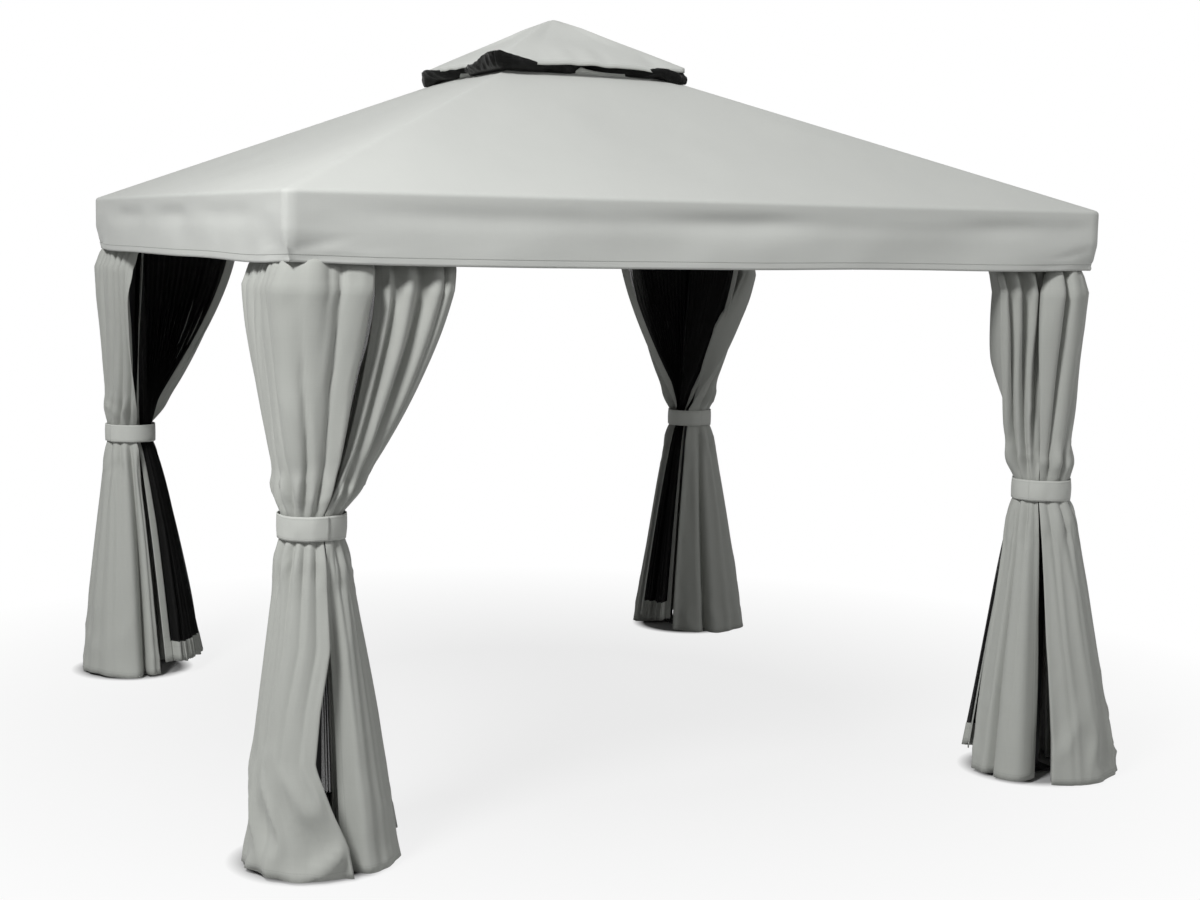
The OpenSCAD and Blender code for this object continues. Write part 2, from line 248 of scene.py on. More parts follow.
class Wire:
    """A socket's value in an expression: each operator adds a Math node."""

    def __init__(self, tree: Tree, socket: bpy.types.NodeSocket) -> None:
        """Wraps a socket of a tree."""
        self.tree = tree
        self.socket = socket

    def _math(self, operation: str, one: Any, two: Any = 0.0) -> "Wire":
        """Adds one Math node and gives its output."""
        return self.tree.wire("ShaderNodeMath", {"operation": operation}, {0: one, 1: two})

    def __add__(self, other: Any) -> "Wire":
        """Sum."""
        return self._math("ADD", self, other)

    __radd__ = __add__

    def __sub__(self, other: Any) -> "Wire":
        """Difference."""
        return self._math("SUBTRACT", self, other)

    def __rsub__(self, other: Any) -> "Wire":
        """Difference, from a number."""
        return self._math("SUBTRACT", other, self)

    def __mul__(self, other: Any) -> "Wire":
        """Product."""
        return self._math("MULTIPLY", self, other)

    __rmul__ = __mul__

    def __truediv__(self, other: Any) -> "Wire":
        """Quotient."""
        return self._math("DIVIDE", self, other)

    def __lt__(self, other: Any) -> "Wire":
        """1 where this is less."""
        return self._math("LESS_THAN", self, other)

    def function(self, operation: str, other: Any = 0.0) -> "Wire":
        """Any other Math operation, such as SINE or FRACT."""
        return self._math(operation, self, other)

    def clamp(self) -> "Wire":
        """The value, held between 0 and 1."""
        return self.function("MAXIMUM", 0.0).function("MINIMUM", 1.0)


def rgba(colour: Any) -> Any:
    """Gives a colour its alpha, and leaves a wire as it is."""
    return colour if isinstance(colour, Wire) else (*colour, 1.0)


def scaled(colour: Colour, factor: float, base: float = 0.0) -> Colour:
    """A colour times a factor, plus a base."""
    return tuple(c * factor + base for c in colour)


def srgb(*screen: int) -> Colour:
    """Turns a colour of 0 to 255, as a screen shows it, into linear light.

    Args:
        screen: Red, green and blue.

    Returns:
        The linear colour.
    """
    shares = [c / 255.0 for c in screen]
    return tuple(c / 12.92 if c <= 0.04045 else ((c + 0.055) / 1.055) ** 2.4 for c in shares)


# Finishes


@dataclass(frozen=True)
class WovenCloth:
    """Plain-woven polyester: fine threads, uneven yarn and a soft sheen.

    The cloth's UV map is in metres of flat cloth, and its edge attribute is the distance to the nearest hem.
    """

    name: str
    colour: Colour
    thread: float = 0.0016
    slub: float = 0.05
    blotch: float = 0.07
    contrast: float = 0.30
    bump: float = 0.25
    roughness: float = 0.82
    sheen: float = 0.12
    hem: float = 0.022
    seam: float = 0.0028
    seam_shade: float = 0.86
    stitch: float = 0.009

    def material(self) -> bpy.types.Material:
        """Builds the node tree.

        Returns:
            The material.
        """
        t = Tree(bpy.data.materials.new(self.name))
        uv = t.wire("ShaderNodeUVMap", {"uv_map": "cloth"})
        u, v, _ = t.wires("ShaderNodeSeparateXYZ", {0: uv})
        turn = 2 * math.pi / self.thread
        weave = ((u * turn).function("SINE") * (v * turn).function("SINE")) * 0.5 + 0.5
        across = self._yarn(t, uv, (7.0, 260.0, 1.0))
        along = self._yarn(t, uv, (260.0, 7.0, 1.0))
        patches = t.noise(uv, 2.2, 4.0, 0.55) - 0.5
        shade = (across + along - 1.0) * self.slub + patches * self.blotch
        edge = t.wire("ShaderNodeAttribute", {"attribute_name": "edge"}, None, "Fac")
        line = (edge - self.hem).function("ABSOLUTE")
        seam = 1.0 - (line / self.seam).function("MINIMUM", 1.0)
        stitch = ((u + v) * (2 * math.pi / self.stitch)).function("SINE") * 0.5 + 0.5
        level = shade + 1.0 - seam * (1.0 - self.seam_shade) * (0.4 + stitch * 0.6)
        darkest = 1.0 - self.contrast
        colour = t.mix((level - darkest) / (2 * self.contrast), scaled(self.colour, darkest),
                       scaled(self.colour, 1.0 + self.contrast))
        folded = (edge < self.hem) * 0.5
        height = weave * 0.35 + (across + along) * 0.5 + folded * 1.2 - seam * 1.2
        return t.principled({
            "Base Color": colour, "Roughness": shade * 0.6 + self.roughness,
            "Normal": t.bump(height, self.bump, 0.0012),
            "Sheen Weight": self.sheen, "Sheen Roughness": 0.4, "Specular IOR Level": 0.25})

    @staticmethod
    def _yarn(t: Tree, uv: Wire, stretch: tuple[float, float, float]) -> Wire:
        """Streaks of thick and thin yarn that run one way.

        Args:
            t: The tree.
            uv: The cloth's UV.
            stretch: Streaks per metre along U and V.

        Returns:
            A value round 0.5.
        """
        place = t.wire("ShaderNodeMapping", None, {"Vector": uv, "Scale": stretch})
        return t.noise(place, 1.0, 3.0, 0.6)


@dataclass(frozen=True)
class KnitNet:
    """Black knitted insect net: threads with holes between them."""

    name: str
    colour: Colour
    pitch: float = 0.0024
    thread: float = 0.30
    hole_gain: float = 1.43
    hole_alpha: float = 0.50
    roughness: float = 0.65
    shine: float = 0.12

    def material(self) -> bpy.types.Material:
        """Builds the node tree.

        Returns:
            The material.
        """
        t = Tree(bpy.data.materials.new(self.name))
        uv = t.wire("ShaderNodeUVMap", {"uv_map": "cloth"})
        u, v, _ = t.wires("ShaderNodeSeparateXYZ", {0: uv})
        turn = math.pi / self.pitch
        across = ((u + v * 0.5) * turn).function("SINE").function("ABSOLUTE")
        along = (v * turn).function("SINE").function("ABSOLUTE")
        hole = (across * along - self.thread).function("MAXIMUM", 0.0) * self.hole_gain
        colour = t.mix(t.noise(uv, 9.0, 3.0), self.colour, scaled(self.colour, 1.9, 0.001))
        return t.principled({
            "Base Color": colour, "Alpha": 1.0 - hole * (1.0 - self.hole_alpha),
            "Normal": t.bump(1.0 - hole, 0.4, 0.0008), "Roughness": self.roughness,
            "Specular IOR Level": self.shine})


@dataclass(frozen=True)
class PowderCoat:
    """Matt powder coat on steel tube, with fine orange peel, dust and rubbed spots."""

    name: str
    colour: Colour
    rubbed: Colour = (0.12, 0.12, 0.12)
    roughness: float = 0.46

    def material(self) -> bpy.types.Material:
        """Builds the node tree.

        Returns:
            The material.
        """
        t = Tree(bpy.data.materials.new(self.name))
        place = t.place()
        dust = t.noise(place, 5.0, 6.0, 0.65)
        worn = ((t.noise(place, 46.0, 4.0) - 0.66) * 9.0).clamp() * 0.35
        dusty = t.mix(dust * 0.5, self.colour, scaled(self.colour, 1.5, 0.012))
        return t.principled({
            "Base Color": t.mix(worn, dusty, self.rubbed),
            "Roughness": dust * 0.2 + (self.roughness - 0.1) + worn * 0.2,
            "Normal": t.bump(t.noise(place, 900.0, 2.0), 0.12, 0.0004), "Specular IOR Level": 0.4})


@dataclass(frozen=True)
class ZincPlate:
    """Bright zinc on bolts and washers."""

    name: str
    colour: Colour = (0.52, 0.53, 0.54)

    def material(self) -> bpy.types.Material:
        """Builds the node tree.

        Returns:
            The material.
        """
        t = Tree(bpy.data.materials.new(self.name))
        spots = t.noise(t.place(), 240.0, 4.0)
        return t.principled({
            "Base Color": t.mix(spots, scaled(self.colour, 0.8), self.colour),
            "Roughness": spots * 0.3 + 0.2, "Metallic": 1.0})


@dataclass(frozen=True)
class MouldedNylon:
    """Black moulded nylon of the track gliders."""

    name: str
    colour: Colour = (0.02, 0.02, 0.021)

    def material(self) -> bpy.types.Material:
        """Builds the node tree.

        Returns:
            The material.
        """
        t = Tree(bpy.data.materials.new(self.name))
        grain = t.noise(t.place(), 700.0, 3.0)
        return t.principled({
            "Base Color": t.mix(grain, self.colour, scaled(self.colour, 1.6)),
            "Roughness": grain * 0.2 + 0.4, "Normal": t.bump(grain, 0.15, 0.0003)})


@dataclass(frozen=True)
class SewingThread:
    """Spun polyester thread."""

    name: str
    colour: Colour

    def material(self) -> bpy.types.Material:
        """Builds the node tree.

        Returns:
            The material.
        """
        t = Tree(bpy.data.materials.new(self.name))
        ply = t.noise(t.place(), 1400.0, 2.0)
        return t.principled({
            "Base Color": t.mix(ply, scaled(self.colour, 0.75), scaled(self.colour, 1.2)),
            "Roughness": ply * 0.2 + 0.55, "Sheen Weight": 0.2})


class Finish(Enum):
    """The gazebo's finishes."""

    CANOPY = WovenCloth("canopy_polyester", srgb(202, 204, 200), thread=0.0018, slub=0.035)
    CURTAIN = WovenCloth("curtain_polyester", srgb(173, 175, 170), thread=0.0016, slub=0.06)
    BAND = WovenCloth("tie_back_polyester", srgb(192, 194, 189), slub=0.05, hem=0.008)
    NET = KnitNet("insect_net", (0.004, 0.004, 0.004))
    VENT_NET = KnitNet("vent_insect_net", (0.003, 0.003, 0.003), hole_alpha=0.90, roughness=0.40)
    FRAME = PowderCoat("black_powder_coat", (0.022, 0.022, 0.024))
    ZINC = ZincPlate("zinc_plate")
    NYLON = MouldedNylon("black_nylon")
    THREAD = SewingThread("grey_thread", srgb(150, 152, 148))

    def get(self) -> bpy.types.Material:
        """The finish's material, made once."""
        return bpy.data.materials.get(self.value.name) or self.value.material()


# Mesh tools


class Wrinkles:
    """Smooth seeded noise over two directions, for creases and sags in cloth."""

    def __init__(self, seed: int, size: int = 64) -> None:
        """Draws the noise's lattice.

        Args:
            seed: Seed of the random lattice.
            size: Lattice cells before it repeats.
        """
        self.size = size
        self.lattice = np.random.default_rng(seed).uniform(-1.0, 1.0, (size, size))

    def at(self, x: np.ndarray, y: np.ndarray) -> np.ndarray:
        """Value at lattice coordinates.

        Args:
            x: First coordinate, in cells.
            y: Second coordinate, in cells.

        Returns:
            Noise from -1 to 1.
        """
        x, y = np.broadcast_arrays(x, y)
        xi, yi = np.floor(x).astype(int), np.floor(y).astype(int)
        fx, fy = (t * t * t * (t * (t * 6 - 15) + 10) for t in (x - xi, y - yi))

        def knot(right: int, above: int) -> np.ndarray:
            """Lattice values at the cells' corners, so many steps on."""
            return self.lattice[(xi + right) % self.size, (yi + above) % self.size]

        low = knot(0, 0) * (1 - fx) + knot(1, 0) * fx
        high = knot(0, 1) * (1 - fx) + knot(1, 1) * fx
        return low * (1 - fy) + high * fy

    def ridged(self, x: np.ndarray, y: np.ndarray) -> np.ndarray:
        """Sharp-crested noise, as crumpled cloth has.

        Args:
            x: First coordinate, in cells.
            y: Second coordinate, in cells.

        Returns:
            Noise from -1 to 1, with creases.
        """
        return 1.0 - 2.0 * np.abs(self.at(x, y))


def smooth_step(x: np.ndarray, low: float, high: float) -> np.ndarray:
    """Rounded ramp from 0 at low to 1 at high."""
    t = np.clip((np.asarray(x, float) - low) / (high - low), 0.0, 1.0)
    return t * t * (3 - 2 * t)


def bell(x: np.ndarray, middle: float, width: float) -> np.ndarray:
    """Bell curve of height 1."""
    return np.exp(-(((np.asarray(x, float) - middle) / width) ** 2))


def sample_path(points: Sequence[Sequence[float]], shares: np.ndarray) -> np.ndarray:
    """Points along a rounded line.

    Args:
        points: The line's corners.
        shares: Shares of its length, 0 to 1.

    Returns:
        One point per share.
    """
    pts = np.asarray(points, float)
    fine = []
    for i in range(len(pts) - 1):
        p0, p1 = pts[max(i - 1, 0)], pts[i]
        p2, p3 = pts[i + 1], pts[min(i + 2, len(pts) - 1)]
        t = np.linspace(0, 1, 24, endpoint=False)[:, None]
        fine.append(0.5 * (2 * p1 + (p2 - p0) * t + (2 * p0 - 5 * p1 + 4 * p2 - p3) * t**2
                           + (3 * p1 - p0 - 3 * p2 + p3) * t**3))
    line = np.vstack(fine + [pts[-1:]])
    run = np.concatenate([[0], np.cumsum(np.linalg.norm(np.diff(line, axis=0), axis=1))])
    return np.column_stack([np.interp(shares * run[-1], run, line[:, k]) for k in range(line.shape[1])])


def grid_object(name: str, points: np.ndarray, uv: np.ndarray, edge: np.ndarray,
                finish: Finish, loop: bool = False, flip: bool = False,
                keep: Optional[np.ndarray] = None) -> bpy.types.Object:
    """Makes a sheet of quads.

    Args:
        name: The piece's name.
        points: Rows by columns of places.
        uv: Rows by columns of flat cloth coordinates, with one more column on a loop.
        edge: Rows by columns of the distance to the nearest hem.
        finish: The sheet's finish.
        loop: Whether the last column joins the first.
        flip: Whether the faces turn over.
        keep: Which faces are made, rows by columns, where not all are.

    Returns:
        The object.
    """
    rows, cols = points.shape[:2]
    ids = np.arange(rows * cols).reshape(rows, cols)
    ring = np.column_stack([ids, ids[:, 0]]) if loop else ids
    quads = np.stack([ring[:-1, :-1], ring[1:, :-1], ring[1:, 1:], ring[:-1, 1:]], -1).reshape(-1, 4)
    span = np.arange(uv.shape[0] * uv.shape[1]).reshape(uv.shape[:2])
    corners = np.stack([span[:-1, :-1], span[1:, :-1], span[1:, 1:], span[:-1, 1:]], -1).reshape(-1, 4)
    if keep is not None:
        quads, corners = quads[keep.reshape(-1)], corners[keep.reshape(-1)]
    if flip:
        quads, corners = quads[:, ::-1], corners[:, ::-1]
    used = np.unique(quads)
    quads = np.searchsorted(used, quads)
    mesh = bpy.data.meshes.new(name)
    mesh.from_pydata(points.reshape(-1, 3)[used].tolist(), [], quads.tolist())
    layer = mesh.uv_layers.new(name="cloth")
    layer.data.foreach_set("uv", uv.reshape(-1, 2)[corners.reshape(-1)].astype(np.float32).ravel())
    hem = mesh.attributes.new("edge", "FLOAT", "POINT")
    hem.data.foreach_set("value", edge.astype(np.float32).reshape(-1)[used])
    mesh.polygons.foreach_set("use_smooth", np.ones(len(mesh.polygons), bool))
    mesh.materials.append(finish.get())
    mesh.update()
    obj = bpy.data.objects.new(name, mesh)
    bpy.context.scene.collection.objects.link(obj)
    return obj


def thicken(obj: bpy.types.Object, thickness: float) -> bpy.types.Object:
    """Gives a sheet its thickness, half to each side.

    Args:
        obj: The sheet.
        thickness: Thickness of the cloth.

    Returns:
        The same object.
    """
    solid = obj.modifiers.new("thickness", "SOLIDIFY")
    solid.thickness = thickness
    solid.offset = 0.0
    return obj


def settle(obj: bpy.types.Object, slot: str, *nodes: str) -> bpy.types.Object:
    """Puts a finished piece on the frame and hides the CAD nodes that it stands for.

    Args:
        obj: The piece.
        slot: Not used.
        nodes: CAD nodes that it stands for.

    Returns:
        The same object.
    """
    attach(obj, ROOT)
    if nodes:
        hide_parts(*nodes)
    log.info("%s: %d faces", obj.name, len(obj.data.polygons))
    return obj


def run_along(h: np.ndarray, z: np.ndarray) -> np.ndarray:
    """Length along a line of rows, from the first row."""
    return np.concatenate([[0], np.cumsum(np.hypot(np.diff(h), np.diff(z)))])


def on_side(side: int, x: np.ndarray, out: np.ndarray, up: np.ndarray) -> np.ndarray:
    """Turns a panel made for the front onto one of the four sides.

    Args:
        side: Number of the side, from the front, anticlockwise.
        x: Distance along the side from its middle.
        out: Distance from the gazebo's middle.
        up: Height.

    Returns:
        Places.
    """
    cos, sin = math.cos(side * math.pi / 2), math.sin(side * math.pi / 2)
    return np.stack([x * cos + out * sin, x * sin - out * cos, up], -1)


def four_sides(panel: Callable[[int], tuple[np.ndarray, np.ndarray]],
               step: float) -> tuple[np.ndarray, np.ndarray]:
    """Joins the panels of four sides into one ring.

    Args:
        panel: Gives a side's points and flat coordinates.
        step: Width of the flat cloth between the last column and the first.

    Returns:
        Points, and flat coordinates with one more column.
    """
    points, flats = zip(*(panel(side) for side in range(4)))
    flat = np.concatenate(flats, 1)
    return np.concatenate(points, 1), np.concatenate([flat, flat[:, -1:] + [step, 0]], 1)


# Main canopy

# For each side of the vent: places along it, -1 to 1, and how far the canopy's hem stands up there.
VENT_FLAPS = (
    ((-1, -0.50, -0.44, -0.38, -0.20, -0.10, -0.02, 0.12, 0.44, 0.6, 1),
     (0.0, 0.0, 0.014, 0.0, 0.0, 0.030, 0.022, 0.015, 0.009, 0.0, 0.0)),
    ((-1, -0.4, -0.3, 0.1, 0.2, 1), (0.0, 0.0, 0.022, 0.014, 0.0, 0.0)),
    ((-1, 0.2, 0.35, 0.5, 1), (0.0, 0.0, 0.024, 0.0, 0.0)),
    ((-1, -0.5, -0.35, -0.1, 0.0, 1), (0.0, 0.0, 0.020, 0.016, 0.0, 0.0)),
)


def vent_flap(side: int, across: np.ndarray) -> np.ndarray:
    """How far the main canopy's vent hem stands up.

    Args:
        side: Side of the vent, from the front, anticlockwise.
        across: Places along that side, -1 to 1.

    Returns:
        Heights of the hem.
    """
    return np.interp(across, *VENT_FLAPS[side])


@dataclass
class MainCanopy:
    """One continuous cloth: four slopes, a rounded eave and the valances, with a vent in the middle."""

    per_side: int = 96
    slope_rows: int = 44
    eave_rows: int = 7
    valance_rows: int = 26
    hem_rows: int = 4
    hem_width: float = 0.012
    eave_radius: float = 0.016
    lift: float = 0.0006
    sag: float = 0.016
    stitch_line: float = 0.024
    stitch_proud: float = 0.0010
    seed: int = 11
    hem_line: Optional[np.ndarray] = None

    def stitch_lines(self) -> list[np.ndarray]:
        """Path of the stitching round the valances, just proud of the cloth."""
        ring = np.vstack([self.hem_line, self.hem_line[:1]])
        ring[:, :2] *= 1 + self.stitch_proud / EAVE
        return [ring]

    def profile(self) -> tuple[np.ndarray, np.ndarray, np.ndarray]:
        """Line from the vent's edge down the slope, over the eave and down to the hem.

        Returns:
            Distance from the middle, height, and length along the cloth.
        """
        angle = math.atan(ROOF_SLOPE)
        r = self.eave_radius
        centre_h = EAVE - r
        centre_z = EAVE_Z - ROOF_SLOPE * (centre_h - EAVE) - r / math.cos(angle) + self.lift
        start = centre_h + r * math.sin(angle)
        h = list(np.linspace(VENT_HALF, start, self.slope_rows, endpoint=False))
        z = [EAVE_Z + ROOF_SLOPE * (EAVE - x) + self.lift for x in h]
        for a in np.linspace(math.pi / 2 - angle, 0, self.eave_rows):
            h.append(centre_h + r * math.cos(a))
            z.append(centre_z + r * math.sin(a))
        h += [EAVE] * self.valance_rows
        z += list(np.linspace(z[-1], VALANCE_BASE, self.valance_rows + 1)[1:])
        row = self.hem_width / self.hem_rows
        turned = [z[0] + row * k for k in range(self.hem_rows, 0, -1)]
        h, z = np.array([VENT_HALF] * self.hem_rows + h), np.array(turned + z)
        return h, z, run_along(h, z)

    def panel(self, side: int) -> tuple[np.ndarray, np.ndarray]:
        """One slope, its valance and its part of the vent's hem.

        Args:
            side: Side of the canopy, from the front, anticlockwise.

        Returns:
            Points and flat coordinates, rows by columns.
        """
        h, z, run = (row[:, None] for row in self.profile())
        noise = Wrinkles(self.seed + side)
        u = (np.arange(self.per_side) + 0.5) / self.per_side
        u = (u - 0.018 * np.sin(2 * math.pi * u))[None, :]
        across = 2 * u - 1
        x, to_corner = across * h, (1 - np.abs(across)) * h
        flat = np.stack(np.broadcast_arrays(side * 3.2 + x, -run), -1)
        drop = np.clip((EAVE_Z - 0.02 - z) / (EAVE_Z - 0.02 - VALANCE_BASE), 0, 1)
        up = z + self._slope_shape(noise, u, h, run)
        up = up + drop * (0.007 * bell(to_corner, 0.0, 0.25) + 0.004 * noise.at(x * 1.7 + 40, 0.2))
        out = h + self._valance_shape(noise, x, drop, to_corner)
        x = np.sign(x) * np.minimum(np.abs(x), out)
        self._turn_vent_hem(side, across, x, out, up)
        return on_side(side, x, out, up), flat

    def _slope_shape(self, noise: Wrinkles, u: np.ndarray, h: np.ndarray, run: np.ndarray) -> np.ndarray:
        """Sag and ripples of a slope.

        Args:
            noise: The side's noise.
            u: Shares along the side.
            h: Distance from the middle of each row.
            run: Length along the cloth of each row.

        Returns:
            Heights to add, rows by columns.
        """
        x, to_corner = (2 * u - 1) * h, (1 - np.abs(2 * u - 1)) * h
        share = np.clip((EAVE - h) / (EAVE - VENT_HALF), 0, 1)
        sag = self.sag * (16 * (u * (1 - u)) ** 2 * 16 * (share * (1 - share)) ** 2)
        ripple = noise.at(x * 3.0, run * 2.2 + 9) * 0.004 + noise.at(x * 8.0, run * 4.0) * 0.0012
        inside = smooth_step(share, 0.0, 0.12) * smooth_step(1 - share, 0.0, 0.12)
        return ripple * inside * smooth_step(to_corner, 0.02, 0.2) - sag

    @staticmethod
    def _valance_shape(noise: Wrinkles, x: np.ndarray, drop: np.ndarray, to_corner: np.ndarray) -> np.ndarray:
        """Tuck under the eave, waves, and puckers at the corners of a valance.

        Args:
            noise: The side's noise.
            x: Distance along the side.
            drop: Share of the way down the valance.
            to_corner: Distance to the nearer corner.

        Returns:
            Outward offsets, rows by columns.
        """
        tuck = -0.008 * bell(drop, 0.26, 0.16) * smooth_step(to_corner, 0.05, 0.5)
        tuck = tuck * (0.8 + 0.5 * noise.at(x * 1.2 + 3, 0.5))
        wave = noise.at(x * 2.6 + 20, drop * 1.2) * 0.009 + noise.at(x * 7.0, drop * 2.0 + 5) * 0.0022
        wave = wave * smooth_step(drop, 0.02, 0.3) * smooth_step(to_corner, 0.0, 0.12)
        pucker = -0.022 * smooth_step(drop, 0.45, 1.0) * bell(to_corner, 0.0, 0.14)
        pull = noise.ridged(x * 9.0 + drop * 5.0, drop * 3.0 + 2) * 0.004
        pull = pull * smooth_step(drop, 0.4, 0.9) * bell(to_corner, 0.05, 0.22)
        return tuck + wave + pucker + pull

    def _turn_vent_hem(self, side: int, across: np.ndarray, x: np.ndarray, out: np.ndarray,
                       up: np.ndarray) -> None:
        """Folds the first rows over, or stands them up as flaps, in place.

        Args:
            side: Side of the canopy.
            across: Places along the side, -1 to 1.
            x: Distances along the side.
            out: Distances from the middle.
            up: Heights.
        """
        hem = slice(0, self.hem_rows)
        flap = vent_flap(side, across[0])
        wide = np.maximum(flap, self.hem_width)
        lean = np.where(flap > 0.002, math.radians(64), math.radians(150))
        share = (np.arange(self.hem_rows, 0, -1) / self.hem_rows)[:, None]
        out[hem] = VENT_HALF + share * wide * np.cos(lean * share ** 0.5)
        up[hem] = up[self.hem_rows] + share * wide * np.sin(lean * share ** 0.5)
        x[hem] = across * np.minimum(out[hem], VENT_HALF + 0.004)

    def build(self) -> bpy.types.Object:
        """Builds the canopy.

        Returns:
            The piece.
        """
        points, uv = four_sides(self.panel, 0.02)
        _, _, run = self.profile()
        edge = np.minimum(run[-1] - run, run + 0.004)[:, None] * np.ones((1, points.shape[1]))
        self.hem_line = points[int(np.argmin(np.abs(run - (run[-1] - self.stitch_line))))]
        obj = grid_object("canopy_cloth", points, uv, edge, Finish.CANOPY, loop=True)
        thicken(obj, CLOTH)
        settle(obj, "canopy_cloth", *["roof_panel_" + s for s in SIDES], *["valance_" + s for s in SIDES])
        return obj


# Upper tier


@dataclass
class UpperTier:
    """The small canopy over the vent, with its soft peak."""

    per_side: int = 64
    rows: int = 34
    peak_hole: float = 0.004
    peak_radius: float = 0.05
    sag: float = 0.011
    skirt: tuple[float, ...] = (0.004, 0.010, 0.018)
    seed: int = 31

    def profile(self) -> tuple[np.ndarray, np.ndarray, np.ndarray, np.ndarray]:
        """Line from the peak down the slope and the short skirt.

        Returns:
            Distance from the middle, height, length along the cloth, and sag.
        """
        share = np.linspace(0.0, 1.0, self.rows) ** 0.9
        h = self.peak_hole + (TOP_HALF - self.peak_hole) * share
        slope = (PEAK_Z - TOP_EDGE_Z) / TOP_HALF
        z = PEAK_Z - slope * np.sqrt(h**2 + self.peak_radius**2 * 0.35) + slope * 0.012
        below = np.array(self.skirt)
        sag = np.concatenate([self.sag * bell(share, 0.42, 0.25), np.zeros(len(below))])
        h = np.concatenate([h, np.full(len(below), TOP_HALF + 0.001)])
        z = np.concatenate([z, z[-1] - below])
        return h, z, run_along(h, z), sag

    def panel(self, side: int) -> tuple[np.ndarray, np.ndarray]:
        """One slope of the tier, round near the peak and straight at the edge.

        Args:
            side: Side of the tier, from the front, anticlockwise.

        Returns:
            Points and flat coordinates, rows by columns.
        """
        h, z, run, sag = (row[:, None] for row in self.profile())
        noise = Wrinkles(self.seed + side)
        across = (2 * (np.arange(self.per_side) + 0.5) / self.per_side - 1)[None, :]
        angle = across * math.pi / 4
        straight = smooth_step(h, 0.0, 0.09)
        square = across * h
        x = np.tan(angle) * h * np.cos(angle) * (1 - straight) + square * straight
        out = h * np.cos(angle) * (1 - straight) + h * straight
        to_corner = (1 - np.abs(across)) * h
        wave = noise.at(x * 7 + 3, 0.4) * 0.010 + noise.at(x * 19 + 9, 0.7) * 0.003
        wave = wave * smooth_step(h / TOP_HALF, 0.45, 1.0) * smooth_step(to_corner, 0.0, 0.08)
        ripple = noise.at(x * 9.0, h * 8.0) * 0.0022 * smooth_step(to_corner, 0.01, 0.06)
        up = z - sag * (0.25 + 0.75 * smooth_step(1 - np.abs(across), 0.0, 0.4)) + wave + ripple
        flat = np.stack(np.broadcast_arrays(side * 0.9 + square, -run), -1)
        return on_side(side, x, out, up), flat

    def build(self) -> bpy.types.Object:
        """Builds the upper canopy.

        Returns:
            The piece.
        """
        points, uv = four_sides(self.panel, 0.01)
        _, _, run, _ = self.profile()
        edge = (run[-1] - run)[:, None] * np.ones((1, points.shape[1]))
        obj = grid_object("top_canopy_cloth", points, uv, edge, Finish.CANOPY, loop=True)
        self._close_peak(obj, points.shape[1])
        thicken(obj, CLOTH)
        settle(obj, "canopy_cloth", "top_canopy")
        return obj

    @staticmethod
    def _close_peak(obj: bpy.types.Object, count: int) -> None:
        """Closes the small hole at the peak with a fan of faces.

        Args:
            obj: The canopy.
            count: Points round the hole.
        """
        bm = bmesh.new()
        bm.from_mesh(obj.data)
        bm.verts.ensure_lookup_table()
        ring = [bm.verts[i] for i in range(count)]
        middle = bm.verts.new(sum((v.co for v in ring), Vector()) / count + Vector((0, 0, 0.0004)))
        layer = bm.loops.layers.uv["cloth"]
        for i in range(count):
            face = bm.faces.new((ring[i], ring[(i + 1) % count], middle))
            face.smooth = True
            for loop in face.loops:
                loop[layer].uv = (loop.vert.co.x, loop.vert.co.y)
        bm.normal_update()
        bm.to_mesh(obj.data)
        bm.free()


